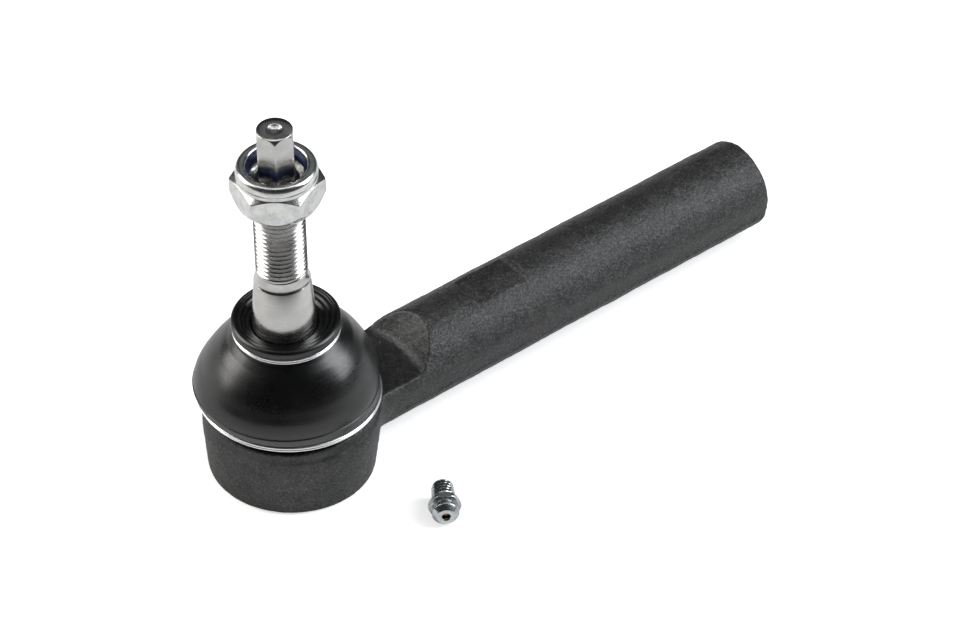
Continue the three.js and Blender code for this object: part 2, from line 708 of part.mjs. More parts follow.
/** Group whose Z axis is the stud's axis, with its origin at the ball's centre. */
function studFrame() {
  const heading = radians(LEAN_HEADING);
  const hinge = new THREE.Vector3(-Math.sin(heading), Math.cos(heading), 0);
  const frame = new THREE.Group();
  frame.position.set(0, 0, BALL_Z);
  frame.quaternion.setFromAxisAngle(hinge, radians(LEAN));
  frame.add(ballStud(), lockNut(), nylonInsert(), upperBootRing());
  return frame;
}

/** The loose fitting, lying on one flat of its hexagon beside the cup. */
function fittingFrame() {
  const frame = new THREE.Group();
  frame.position.set(FITTING_X, FITTING_Y, FITTING_FLATS / 2);
  frame.rotation.set(0, Math.PI / 2, radians(FITTING_HEADING), 'ZYX');
  frame.add(fittingBody(), checkBall(), fittingSpring());
  return frame;
}

const assembly = new THREE.Group();
assembly.add(housing(), upperBearingSeat(), lowerBearingSeat(), preloadSpring(), coverPlate());
assembly.add(dustBoot(), lowerBootRing(), studFrame(), fittingFrame());

// The part's origin is the middle of its bounding box, on the plane it stands on.
const extent = new THREE.Box3().setFromObject(assembly, true);
const middle = extent.getCenter(new THREE.Vector3());
assembly.position.set(-middle.x, -middle.y, -extent.min.z);

const part = new THREE.Group();
part.add(assembly);
export default part;
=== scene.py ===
import json
import math

import bmesh
import bpy
import numpy as np
from mathutils import Matrix, Vector, noise


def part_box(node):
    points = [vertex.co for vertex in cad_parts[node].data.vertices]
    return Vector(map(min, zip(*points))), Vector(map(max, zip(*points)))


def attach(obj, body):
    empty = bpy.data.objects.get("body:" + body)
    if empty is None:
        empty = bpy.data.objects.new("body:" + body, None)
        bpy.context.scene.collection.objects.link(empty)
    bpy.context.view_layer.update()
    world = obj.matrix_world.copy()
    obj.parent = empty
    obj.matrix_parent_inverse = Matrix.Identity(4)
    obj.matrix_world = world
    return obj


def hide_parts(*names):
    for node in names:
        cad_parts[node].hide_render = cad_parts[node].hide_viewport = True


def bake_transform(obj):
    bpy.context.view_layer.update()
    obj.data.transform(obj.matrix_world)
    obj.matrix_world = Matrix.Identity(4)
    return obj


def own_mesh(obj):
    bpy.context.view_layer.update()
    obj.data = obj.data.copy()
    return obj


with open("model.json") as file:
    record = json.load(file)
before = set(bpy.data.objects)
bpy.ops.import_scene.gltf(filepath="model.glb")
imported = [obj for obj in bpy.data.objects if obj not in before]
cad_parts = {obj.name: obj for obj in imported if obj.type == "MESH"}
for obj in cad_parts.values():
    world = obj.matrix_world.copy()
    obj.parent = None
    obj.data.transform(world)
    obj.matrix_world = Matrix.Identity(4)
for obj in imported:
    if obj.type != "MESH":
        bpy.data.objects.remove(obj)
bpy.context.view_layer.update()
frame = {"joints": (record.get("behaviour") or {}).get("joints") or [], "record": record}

# Outer tie rod end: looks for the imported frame. Shapes are drawn in millimetres in the local frame
# of the bore, the stud or the grease fitting, and each object's matrix puts that frame in its place.

MM = 0.001
TURN = 2 * math.pi
GAP = 0.3  # clearance that the CAD keeps between neighbours

# ------------------------------------------------------------------ frames

JOINTS = {joint["name"]: joint for joint in frame["joints"]}
BODY_OF = {
    node: body
    for body, nodes in frame["record"]["behaviour"]["bodies"].items()
    for node in nodes
}
BALL_CENTRE = Vector(JOINTS["stud_tilt"]["pos_m"])
STUD_AXIS = Vector(JOINTS["stud_spin"]["axis"]).normalized()
TILT_HINGE = Vector(JOINTS["stud_tilt"]["axis"]).normalized()
FITTING_AXIS = -Vector(JOINTS["check_ball_press"]["axis"]).normalized()
CHECK_BALL_AT = 8.75  # along the fitting from its threaded end

BALL_Z = BALL_CENTRE.z / MM
LEAN = Vector((0, 0, 1)).angle(STUD_AXIS)
BORE_FRAME = Matrix.Translation((BALL_CENTRE.x, BALL_CENTRE.y, 0))
STUD_FRAME = (
    Matrix.Translation(BALL_CENTRE)
    @ Vector((0, 0, 1)).rotation_difference(STUD_AXIS).to_matrix().to_4x4()
)


def fitting_frame():
    """Z along the loose fitting, from its thread to its head, with a flat of the hexagon below."""
    low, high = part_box("fitting_check_ball")
    origin = (low + high) / 2 - FITTING_AXIS * CHECK_BALL_AT * MM
    down = Vector((0, 0, -1))
    across = FITTING_AXIS.cross(down)
    turn = Matrix((down, across, FITTING_AXIS)).transposed().to_4x4()
    return Matrix.Translation(origin) @ turn


FITTING_FRAME = fitting_frame()

# ------------------------------------------------------------------ camera

CAMERA_PLACE = (-0.595447, -0.678409, 0.790337)
CAMERA_HEADING = math.radians(40.748)  # from +Y towards +X
CAMERA_DROP = math.radians(40.574)
CAMERA_ROLL = math.radians(1.314)
CAMERA_LENS = 187.5
CAMERA_SENSOR = 36


def make_camera():
    forward = Vector((
        math.cos(CAMERA_DROP) * math.sin(CAMERA_HEADING),
        math.cos(CAMERA_DROP) * math.cos(CAMERA_HEADING),
        -math.sin(CAMERA_DROP),
    ))
    level = Vector((math.cos(CAMERA_HEADING), -math.sin(CAMERA_HEADING), 0))
    right = Matrix.Rotation(-CAMERA_ROLL, 3, forward) @ level
    up = right.cross(forward)
    data = bpy.data.cameras.new("camera")
    data.lens = CAMERA_LENS
    data.sensor_width = CAMERA_SENSOR
    data.clip_start = 0.01
    data.clip_end = 100
    camera = bpy.data.objects.new("camera", data)
    turn = Matrix((right, up, -forward)).transposed().to_4x4()
    camera.matrix_world = Matrix.Translation(CAMERA_PLACE) @ turn
    bpy.context.scene.collection.objects.link(camera)
    bpy.context.scene.camera = camera


# ------------------------------------------------------------------ outlines


def arc(r, z, radius, start, end, steps=16):
    """Points of an arc about (r, z), from one angle to another in degrees."""
    turns = np.radians(np.linspace(start, end, steps + 1))
    return [(r + radius * math.cos(t), z + radius * math.sin(t)) for t in turns]


def eased(corners, steps=5):
    """A profile from (r, z) corners; (r, z, setback) rounds that corner over the setback."""
    points = []
    for i, corner in enumerate(corners):
        at = Vector(corner[:2])
        setback = corner[2] if len(corner) > 2 else 0
        if not setback:
            points.append(tuple(at))
            continue
        before = Vector(corners[i - 1][:2]) - at
        after = Vector(corners[(i + 1) % len(corners)][:2]) - at
        a = at + before.normalized() * min(setback, before.length * 0.48)
        b = at + after.normalized() * min(setback, after.length * 0.48)
        for step in range(steps + 1):
            t = step / steps
            points.append(tuple(a * (1 - t) ** 2 + at * 2 * t * (1 - t) + b * t * t))
    return points


def fine(points, step):
    """The same outline with no stretch longer than step."""
    dense = [points[0]]
    for a, b in zip(points, points[1:]):
        count = max(1, math.ceil(math.dist(a, b) / step))
        for i in range(1, count + 1):
            share = i / count
            dense.append((a[0] + (b[0] - a[0]) * share, a[1] + (b[1] - a[1]) * share))
    return dense


def spline(points, steps=8):
    """A smooth curve through the points, by Catmull-Rom."""
    rows = [np.array(p, float) for p in points]
    rows = [2 * rows[0] - rows[1], *rows, 2 * rows[-1] - rows[-2]]
    curve = []
    for a, b, c, d in zip(rows, rows[1:], rows[2:], rows[3:]):
        for step in range(steps):
            t = step / steps
            point = 2 * b + (c - a) * t
            point = point + (2 * a - 5 * b + 4 * c - d) * t * t
            point = point + (3 * b - a - 3 * c + d) * t**3
            curve.append(tuple(point / 2))
    return [*curve, tuple(rows[-2])]


# ------------------------------------------------------------------ meshes


def turned(profile, steps=192, shape=None, loop=None):
    """(corners, faces) of a profile of (r, z) turned round Z; shape(r, z, angle) may reshape it."""
    rows = np.array(profile, float)
    loop = bool(rows[0][0] > 0) if loop is None else loop
    angle = np.arange(steps) * TURN / steps
    r = np.repeat(rows[:, :1], steps, 1)
    z = np.repeat(rows[:, 1:], steps, 1)
    turn = np.repeat(angle[None, :], len(rows), 0)
    if shape is not None:
        r, z = shape(r, z, turn)
    corners = np.stack([r * np.cos(turn), r * np.sin(turn), z], -1).reshape(-1, 3)
    place = np.arange(len(rows) * steps).reshape(len(rows), steps)
    for row in np.nonzero(rows[:, 0] == 0)[0]:
        place[row, :] = place[row, 0]
    faces = []
    last = len(rows) if loop else len(rows) - 1
    for i in range(last):
        low = place[i]
        high = place[(i + 1) % len(rows)]
        for j in range(steps):
            k = (j + 1) % steps
            ring = [low[j], low[k], high[k], high[j]]
            faces.append([int(c) for n, c in enumerate(ring) if c != ring[n - 1]])
    return corners, [face for face in faces if len(face) > 2]


def mesh_object(name, corners, faces, matrix=None, sharp=30):
    """A closed smooth-shaded object from corners in millimetres, its faces turned outwards."""
    mesh = bpy.data.meshes.new(name)
    mesh.from_pydata((np.array(corners) * MM).tolist(), [], faces)
    tidy = bmesh.new()
    tidy.from_mesh(mesh)
    loose = [v for v in tidy.verts if not v.link_faces]
    bmesh.ops.delete(tidy, geom=loose, context="VERTS")
    bmesh.ops.recalc_face_normals(tidy, faces=tidy.faces)
    tidy.to_mesh(mesh)
    tidy.free()
    obj = bpy.data.objects.new(name, mesh)
    bpy.context.scene.collection.objects.link(obj)
    if matrix is not None:
        obj.matrix_world = matrix
    smooth(obj, sharp)
    return obj


def smooth(obj, sharp=30):
    obj.data.shade_smooth()
    obj.data.set_sharp_from_angle(angle=math.radians(sharp))


def hexagon(turn, flats, heading, crispness=110):
    """Radius at each angle of a hexagon whose corners are slightly rounded."""
    sides = math.radians(heading) + np.arange(6) * TURN / 6
    reach = np.maximum(np.cos(turn[..., None] - sides), 0)
    return flats / 2 / (reach**crispness).sum(-1) ** (1 / crispness)


def screw(r, z, turn, start, end, pitch, depth, fade, inward=True):
    """r with a screw thread between two heights, running out over fade at each end."""
    phase = ((z - start) / pitch - turn / TURN) % 1
    flank = np.clip(np.abs(2 * phase - 1) * 1.3 - 0.16, 0, 1)
    share = np.clip(np.minimum(z - start, end - z) / fade, 0, 1)
    cut = depth * (1 - flank) * share
    return r - cut if inward else r + cut


def wire(angle, radius, height, size, sides=14):
    """(corners, faces) of round wire of radius size bent round Z, with domed ends."""
    count = len(angle)
    share = np.arange(1, 5) / 4
    thick = np.full(count, float(size))
    thick[:4] = size * np.sqrt(1 - (1 - share) ** 2)
    thick[-4:] = thick[3::-1]
    around = np.arange(sides) * TURN / sides
    out = radius + thick[:, None] * np.cos(around)
    z = height[:, None] + thick[:, None] * np.sin(around)
    x = out * np.cos(angle)[:, None]
    y = out * np.sin(angle)[:, None]
    faces = []
    for i in range(count - 1):
        for j in range(sides):
            k = (j + 1) % sides
            low = i * sides
            faces.append([low + j, low + k, low + sides + k, low + sides + j])
    faces.append(list(range(sides)))
    faces.append(list(range((count - 1) * sides, count * sides)))
    return np.stack([x, y, z], -1).reshape(-1, 3), faces


def coil(radius, size, start, rise, turns):
    """An even helix of wire."""
    share = np.linspace(0, 1, 32 * turns + 1)
    return wire(share * turns * TURN, radius, start + rise * turns * share, size, 10)


def double_ring(radius, size, start, pitch, back):
    """Two flat turns of wire, one above the other, with a jog between them at the back."""
    free = math.radians(9)
    turn = np.linspace(free, 2 * TURN - free, 361)
    t = np.clip((turn - TURN) / free / 2 + 0.5, 0, 1)
    return wire(turn + math.radians(back), radius, start + pitch * t * t * (3 - 2 * t), size)


def piece(obj, node, materials):
    """obj stands for the CAD node, which it hides, rides on its body and takes the given materials."""
    obj.data.materials.clear()
    for material in materials:
        obj.data.materials.append(material)
    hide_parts(node)
    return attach(obj, BODY_OF[node])


# ------------------------------------------------------------------ material helpers


class Surface:
    """Node graph of one principled material, read in the piece's own coordinates."""

    def __init__(self, name, metallic=0.0, coat=0.0, level=0.5):
        self.material = bpy.data.materials.new(name)
        self.material.use_nodes = True
        self.tree = self.material.node_tree
        self.shader = self.tree.nodes["Principled BSDF"]
        self.shader.inputs["Metallic"].default_value = metallic
        self.shader.inputs["Coat Weight"].default_value = coat
        self.shader.inputs["Specular IOR Level"].default_value = level
        self.place = self.add("TexCoord").outputs["Object"]

    def add(self, kind, **settings):
        made = self.tree.nodes.new("ShaderNode" + kind)
        for key, value in settings.items():
            setattr(made, key, value)
        return made

    def feed(self, socket, value):
        if isinstance(value, bpy.types.NodeSocket):
            self.tree.links.new(value, socket)
        else:
            socket.default_value = value

    def noise(self, size, detail=3, rough=0.55, stretch=None, at=None):
        """Noise whose features are about size millimetres across."""
        made = self.add("TexNoise")
        where = at or self.place
        if stretch:
            scaled = self.add("Mapping")
            scaled.inputs["Scale"].default_value = stretch
            self.feed(scaled.inputs["Vector"], where)
            where = scaled.outputs["Vector"]
        self.feed(made.inputs["Vector"], where)
        made.inputs["Scale"].default_value = 1 / (size * MM)
        made.inputs["Detail"].default_value = detail
        made.inputs["Roughness"].default_value = rough
        return made.outputs["Fac"]

    def cells(self, size, at=None):
        """Distance to scattered points about size millimetres apart."""
        made = self.add("TexVoronoi")
        self.feed(made.inputs["Vector"], at or self.place)
        made.inputs["Scale"].default_value = 1 / (size * MM)
        return made.outputs["Distance"]

    def math(self, operation, *values):
        made = self.add("Math", operation=operation)
        for socket, value in zip(made.inputs, values):
            self.feed(socket, value)
        return made.outputs["Value"]

    def range(self, value, low, high, to_low=0.0, to_high=1.0):
        made = self.add("MapRange", interpolation_type="SMOOTHSTEP")
        self.feed(made.inputs["Value"], value)
        made.inputs["From Min"].default_value = low
        made.inputs["From Max"].default_value = high
        made.inputs["To Min"].default_value = to_low
        made.inputs["To Max"].default_value = to_high
        return made.outputs["Result"]

    def mix(self, share, a, b):
        made = self.add("Mix", data_type="RGBA")
        self.feed(made.inputs["Factor"], share)
        for name, value in (("A", a), ("B", b)):
            socket = next(s for s in made.inputs if s.identifier == name + "_Color")
            self.feed(socket, (*value, 1) if isinstance(value, tuple) else value)
        return next(s for s in made.outputs if s.identifier == "Result_Color")

    def split(self, at=None):
        made = self.add("SeparateXYZ")
        self.feed(made.inputs["Vector"], at or self.place)
        return made.outputs["X"], made.outputs["Y"], made.outputs["Z"]

    def radius(self, at=None):
        """Distance from the piece's Z axis, in metres."""
        x, y, _ = self.split(at)
        squares = self.math("ADD", self.math("MULTIPLY", x, x), self.math("MULTIPLY", y, y))
        return self.math("SQRT", squares)

    def rings(self, along, pitch):
        """Tool marks: a wave of that pitch, in millimetres, along a length in metres."""
        wave = self.math("SINE", self.math("MULTIPLY", along, TURN / (pitch * MM)))
        return self.math("MULTIPLY_ADD", wave, 0.5, 0.5)

    def bump(self, height, depth, below=None):
        """Height from 0 to 1 as a relief of that many millimetres."""
        made = self.add("Bump")
        self.feed(made.inputs["Height"], height)
        made.inputs["Distance"].default_value = depth * MM
        made.inputs["Strength"].default_value = 1
        if below is not None:
            self.feed(made.inputs["Normal"], below)
        return made.outputs["Normal"]

    def finish(self, colour, roughness, normal):
        self.feed(self.shader.inputs["Base Color"], colour)
        self.feed(self.shader.inputs["Roughness"], roughness)
        self.feed(self.shader.inputs["Normal"], normal)
        return self.material


# ------------------------------------------------------------------ materials


def forged_black(name="forged_black_skin", relief=1.0, painted_shade_dim=1.0):
    """Black coat over a shot-blasted forging: sandy grain, worn specks, cooler and warmer clouds. The third
    argument scales the coat's colours down: painted shade, for a darker copy.
    """
    s = Surface(name, level=0.6)
    mottle = s.noise(3.6, 4, 0.66)
    cloud = s.noise(14, 3, 0.5)
    sand = s.noise(0.46, 3, 0.7)
    grit = s.noise(0.9, 3, 0.65)
    lump = s.noise(2.2, 3, 0.6)
    speck = s.range(s.cells(1.5), 0.06, 0.12, 1, 0)
    rare = s.math("MULTIPLY", speck, s.range(s.noise(2.6, 1), 0.55, 0.66))
    # a third argument below 1 darkens these colours: painted shade
    dark = (0.012 * painted_shade_dim, 0.0121 * painted_shade_dim, 0.0123 * painted_shade_dim)
    colour = s.mix(s.range(mottle, 0.3, 0.7), dark, (0.024 * painted_shade_dim, 0.024 * painted_shade_dim, 0.0237 * painted_shade_dim))
    colour = s.mix(s.range(cloud, 0.4, 0.62, 0, 0.4), colour, (0.026 * painted_shade_dim, 0.025 * painted_shade_dim, 0.0235 * painted_shade_dim))
    colour = s.mix(s.range(sand, 0.54, 0.66, 0, 0.7), colour, (0.105 * painted_shade_dim, 0.104 * painted_shade_dim, 0.1 * painted_shade_dim))
    colour = s.mix(s.range(sand, 0.46, 0.34, 0, 0.85), colour, (0.004, 0.004, 0.004))
    colour = s.mix(s.math("MULTIPLY", rare, 0.8), colour, (0.34, 0.34, 0.33))
    rough = s.math("ADD", s.range(mottle, 0.3, 0.7, 0.37, 0.44), s.range(grit, 0.3, 0.7, 0, 0.1))
    sheen = s.math("MULTIPLY", s.range(mottle, 0.3, 0.7, 0.62, 0.86), s.range(sand, 0.36, 0.6, 0.62, 1))
    s.feed(s.shader.inputs["Specular IOR Level"], sheen)
    normal = s.bump(lump, 0.16 * relief)
    normal = s.bump(grit, 0.2 * relief, normal)
    normal = s.bump(sand, 0.13 * relief, normal)
    return s.finish(colour, rough, normal)


def bare_bore(name="bored_steel", shade=0.16):
    """Machined steel inside the housing, under an oil film."""
    s = Surface(name, metallic=0.85)
    stain = s.noise(3, 4, 0.65)
    grain = s.noise(0.3, 2)
    colour = s.mix(
        s.range(stain, 0.35, 0.7),
        (shade * 0.55, shade * 0.55, shade * 0.54),
        (shade * 1.5, shade * 1.48, shade * 1.42),
    )
    rough = s.range(stain, 0.3, 0.7, 0.3, 0.5)
    return s.finish(colour, rough, s.bump(grain, 0.012))


def boot_rubber():
    """Moulded rubber, satin with a trace of dust; its coordinates are those before bending."""
    s = Surface("moulded_rubber", level=0.72)
    rest = s.add("Attribute", attribute_name="rest_place").outputs["Vector"]
    cloud = s.noise(7, 4, 0.6, at=rest)
    grain = s.noise(0.5, 3, 0.6, at=rest)
    dust = s.range(s.cells(1.9, at=rest), 0.03, 0.07, 1, 0)
    dust = s.math("MULTIPLY", dust, s.range(s.noise(3.4, 1, at=rest), 0.55, 0.62))
    _, _, height = s.split(rest)
    lines = s.rings(s.math("ADD", height, s.math("MULTIPLY", cloud, 0.0002)), 0.9)
    colour = s.mix(s.range(cloud, 0.35, 0.7), (0.0008, 0.0008, 0.0008), (0.0016, 0.0016, 0.0016))
    # below 24.6 mm, on the foot's outer wall, the rubber is painted lighter grey: painted reflection of the
    # white floor
    colour = s.mix(s.range(height, 24.75 * MM, 24.5 * MM), colour, (0.035, 0.035, 0.033))
    colour = s.mix(s.math("MULTIPLY", dust, 0.7), colour, (0.2, 0.2, 0.2))
    rough = s.math("ADD", s.range(cloud, 0.3, 0.7, 0.25, 0.31), s.range(grain, 0.3, 0.7, 0, 0.06))
    normal = s.bump(grain, 0.004)
    normal = s.bump(lines, 0.0025, normal)
    return s.finish(colour, rough, normal)


def ground_steel(name, dark, light, rough, oil=None):
    """Turned and ground steel with rings round the axis and scratches; the last argument gives (clean, dark)
    heights, below which the colour darkens: an oil film and painted shade where the stud goes into the nut.
    """
    s = Surface(name, metallic=1.0)
    _, _, height = s.split()
    stain = s.noise(3.4, 3, 0.6)
    streak = s.noise(0.45, 3, 0.6, stretch=(1, 1, 0.09))
    rings = s.noise(0.16, 2, 0.6, stretch=(0.04, 0.04, 1))
    nick = s.range(s.cells(1.8), 0.05, 0.1, 1, 0)
    nick = s.math("MULTIPLY", nick, s.range(s.noise(1.7, 1), 0.56, 0.64))
    colour = s.mix(s.range(stain, 0.3, 0.72), dark, light)
    colour = s.mix(s.range(streak, 0.58, 0.78, 0, 0.3), colour, dark)
    colour = s.mix(s.math("MULTIPLY", nick, 0.8), colour, (0.05, 0.05, 0.05))
    # darker towards the nut: an oil film and painted shade
    if oil:
        edge = s.math("MULTIPLY_ADD", s.noise(1.1, 4, 0.7), 0.0035, height)
        oil_and_shade_share = s.range(edge, (oil[0] + 1.75) * MM, (oil[1] + 1.75) * MM)
        colour = s.mix(s.math("MULTIPLY", oil_and_shade_share, 0.93), colour, (0.02, 0.019, 0.018))
    value = s.math("ADD", s.range(stain, 0.3, 0.7, rough, rough + 0.07), s.range(rings, 0.3, 0.7, 0, 0.06))
    normal = s.bump(rings, 0.005)
    normal = s.bump(streak, 0.003, normal)
    return s.finish(colour, value, normal)


def end_steel():
    """The stud's sawn and centred end, dull from heat treatment, brighter inside the centring."""
    s = Surface("stud_end_steel", metallic=1.0)
    stain = s.noise(1.1, 4, 0.7)
    grain = s.noise(0.22, 3, 0.6)
    marks = s.rings(s.radius(), 0.34)
    inside = s.range(s.math("ADD", s.radius(), s.math("MULTIPLY", grain, 0.0006)), 0.0014, 0.0022, 1, 0)
    colour = s.mix(s.range(stain, 0.3, 0.7), (0.2, 0.2, 0.202), (0.33, 0.33, 0.332))
    colour = s.mix(s.math("MULTIPLY", inside, 0.75), colour, (0.5, 0.5, 0.49))
    rough = s.range(grain, 0.3, 0.7, 0.42, 0.6)
    normal = s.bump(marks, 0.012)
    normal = s.bump(grain, 0.035, normal)
    return s.finish(colour, rough, normal)


def thread_steel():
    """Rolled thread: worn bright crests, with the roots and flanks painted near-black as painted shade in the
    grooves.
    """
    s = Surface("rolled_thread_steel", metallic=1.0)
    stain = s.noise(1.6, 4, 0.65)
    grain = s.noise(0.2, 3, 0.6)
    crest = s.range(s.radius(), 0.00585, 0.006)
    # away from the crests the thread is painted near-black: painted shade in the grooves
    colour = s.mix(crest, (0.012, 0.0115, 0.011), (0.36, 0.354, 0.34))
    colour = s.mix(s.range(stain, 0.5, 0.72, 0, 0.65), colour, (0.1, 0.098, 0.092))
    rough = s.range(crest, 0, 1, 0.5, 0.3)
    _, _, height = s.split()
    # the last turns, inside the nut, are painted dark: painted shade in the nut's bore
    colour = s.mix(s.range(height, 70.6 * MM, 71.8 * MM, 0, 0.93), colour, (0.02, 0.019, 0.018))
    return s.finish(colour, rough, s.bump(grain, 0.006))


def zinc(name, tint=(0.74, 0.737, 0.71), shade=(0.58, 0.593, 0.59), rough=0.2, pits=1.7):
    """Bright zinc plate: rolling orange peel, cooler clouds, scuffs and small dark pits."""
    s = Surface(name, metallic=1.0)
    cloud = s.noise(2.4, 3, 0.6)
    peel = s.noise(1.2, 2, 0.5)
    grain = s.noise(0.16, 3, 0.6)
    scuff = s.noise(0.8, 4, 0.75, stretch=(1, 1, 0.35))
    pit = s.range(s.cells(pits), 0.07, 0.13, 1, 0)
    pit = s.math("MULTIPLY", pit, s.range(s.noise(2.1, 1), 0.54, 0.62))
    colour = s.mix(s.range(cloud, 0.38, 0.68), tint, shade)
    colour = s.mix(s.range(scuff, 0.6, 0.74, 0, 0.55), colour, (0.36, 0.36, 0.35))
    colour = s.mix(s.math("MULTIPLY", pit, 0.9), colour, (0.05, 0.047, 0.043))
    value = s.math("ADD", s.range(cloud, 0.3, 0.7, rough, rough + 0.08), s.math("MULTIPLY", pit, 0.3))
    normal = s.bump(peel, 0.02)
    normal = s.bump(grain, 0.003, normal)
    normal = s.bump(s.math("SUBTRACT", 1.0, pit), 0.04, normal)
    return s.finish(colour, value, normal)


def polished_wire():
    """Drawn and plated wire with fine marks along it."""
    s = Surface("plated_wire", metallic=1.0)
    cloud = s.noise(1.8, 3, 0.6)
    draw = s.noise(0.12, 2, 0.5, stretch=(0.2, 0.2, 1))
    colour = s.mix(s.range(cloud, 0.35, 0.7), (0.98, 0.98, 0.97), (0.9, 0.91, 0.92))
    return s.finish(colour, s.range(cloud, 0.3, 0.7, 0.28, 0.36), s.bump(draw, 0.0012))


def navy_nylon():
    s = Surface("navy_nylon", level=0.5)
    s.shader.inputs["Subsurface Weight"].default_value = 0.15
    s.shader.inputs["Subsurface Scale"].default_value = 0.0005
    cloud = s.noise(1.2, 3, 0.6)
    grain = s.noise(0.25, 2)
    colour = s.mix(s.range(cloud, 0.35, 0.7), (0.004, 0.01, 0.055), (0.01, 0.025, 0.12))
    return s.finish(colour, s.range(grain, 0.3, 0.7, 0.42, 0.55), s.bump(grain, 0.01))


def seat_polymer():
    s = Surface("bearing_polymer_cream", level=0.45)
    cloud = s.noise(3, 3, 0.6)
    grain = s.noise(0.3, 2)
    colour = s.mix(s.range(cloud, 0.35, 0.7), (0.62, 0.58, 0.47), (0.7, 0.66, 0.55))
    return s.finish(colour, s.range(grain, 0.3, 0.7, 0.4, 0.55), s.bump(grain, 0.01))


def pressed_steel(name, dark, light):
    """Pressed sheet steel with faint rings and stains."""
    s = Surface(name, metallic=1.0)
    stain = s.noise(3.5, 4, 0.65)
    grain = s.noise(0.25, 3)
    marks = s.rings(s.radius(), 0.55)
    colour = s.mix(s.range(stain, 0.35, 0.7), dark, light)
    normal = s.bump(marks, 0.006)
    normal = s.bump(grain, 0.008, normal)
    return s.finish(colour, s.range(stain, 0.3, 0.7, 0.28, 0.46), normal)


def brown_ball():
    s = Surface("check_ball_bronze", metallic=0.9)
    stain = s.noise(0.5, 3, 0.6)
    grain = s.noise(0.1, 2)
    colour = s.mix(s.range(stain, 0.35, 0.7), (0.2, 0.12, 0.08), (0.36, 0.24, 0.17))
    return s.finish(colour, s.range(grain, 0.3, 0.7, 0.25, 0.4), s.bump(grain, 0.004))


def pale_floor():
    """A matt light table: it glows a little towards the camera, which keeps shadows faint."""
    s = Surface("pale_floor", level=0.1)
    grain = s.noise(3, 3)
    colour = s.mix(s.range(grain, 0.3, 0.7), (0.9, 0.9, 0.9), (0.92, 0.92, 0.92))
    seen = s.add("LightPath").outputs["Is Camera Ray"]
    s.feed(s.shader.inputs["Emission Color"], (1, 1, 1, 1))
    s.feed(s.shader.inputs["Emission Strength"], s.math("MULTIPLY_ADD", seen, 0.53, 0.1))
    return s.finish(colour, 0.9, s.bump(grain, 0.01))


# ------------------------------------------------------------------ housing

SKIN_X = 0.45  # the forged skin sits slightly off the machined bore
SKIN_Y = -0.33
CUP_BASE_R = 19.62
CUP_PARTING_R = 20.96
CUP_PARTING_Z = 13
CUP_TOP_R = 20.8
TURNED_R = 20.55
TURNED_Z = 16.2
TURNED_FLOOR_R = 33.3
TURNED_SLOPE = 0.71
TURNED_NOSE_R = 3
SHOULDER_Z = 19.2
NECK_R = 17.2
NECK_LIP_R = 17.9
NECK_LIP_Z = 22.3
NECK_TOP_Z = 23.6
ARM_AXIS_Z = 12.18
ARM_ROOT_R = 11.36
ARM_END_R = 11.18
ARM_END_X = 141.35
FILLET_R = 7
SOCKET_CORE_R = 7.2
SOCKET_THREAD_DEPTH = 0.82
SOCKET_PITCH = 1.5
SOCKET_DEPTH = 72
SOCKET_CHAMFER = 1.2
FLAT_X = 52.8
FLAT_LENGTH = 15.7
FLAT_DEPTH = 1.15
FLAT_RUN = 2  # length of the slope at each end of a spanner flat
COVER_LIP_R = 14.2
COVER_R = 15.2
COVER_BOTTOM_Z = 1.1
COVER_THICKNESS = 1.6
BORE_R = 13.5
BORE_TOP_Z = 19.9
CONE = math.tan(math.radians(22))
LAND_MIDDLE = 189.5  # the trimmed flash land, as an angle round the arm from +Y towards +Z
LAND_HALF = 14.5
BLANK_VOXEL = 0.42
BLANK_SMOOTHING = 3
FLASH_HEADINGS = (202, 338)
FLASH_HEIGHT = 0.2
FLASH_HALF_WIDTH = 0.45


def along_x(corners, y, z):
    """A body turned round Z laid along +X, its start at x = 0; its angle 0 then points to +Y."""
    corners = np.asarray(corners)
    return np.stack([corners[:, 2], corners[:, 0] + y, corners[:, 1] + z], -1)


def arm_shape(r, z, turn):
    """Flattens the two trimmed flash lands, along the die's parting line."""
    for middle in (LAND_MIDDLE, 540 - LAND_MIDDLE):
        reach = np.maximum(np.cos(turn - math.radians(middle)), 0.2)
        limit = ARM_ROOT_R * math.cos(math.radians(LAND_HALF)) / reach
        taper = 1 - 0.018 * z / ARM_END_X
        r = np.minimum(r, limit * taper)
    return r, z


def forged_cup():
    profile = eased([
        (0, 0),
        (CUP_BASE_R + 0.08, 0, 0.6),
        (CUP_PARTING_R, CUP_PARTING_Z, 2),
        (CUP_TOP_R, TURNED_Z),
        (CUP_TOP_R, NECK_TOP_Z + 1),
        (0, NECK_TOP_Z + 1),
    ])
    corners, faces = turned(fine(profile, 1), 180)
    return corners + np.array([SKIN_X, SKIN_Y, 0]), faces


def forged_arm():
    profile = eased([
        (0, SKIN_X),
        (ARM_ROOT_R + 0.08, SKIN_X),
        (ARM_END_R + 0.08, ARM_END_X, 0.9),
        (0, ARM_END_X),
    ])
    corners, faces = turned(fine(profile, 2), 180, arm_shape)
    return along_x(corners, SKIN_Y, ARM_AXIS_Z), faces


def root_half_width(x):
    """Half width of the arm's root, which flares into the cup through a round fillet."""
    middle_y = ARM_ROOT_R + FILLET_R
    middle_x = math.sqrt((CUP_PARTING_R + FILLET_R) ** 2 - middle_y**2)
    return middle_y - math.sqrt(max(FILLET_R**2 - (x - middle_x) ** 2, 0))


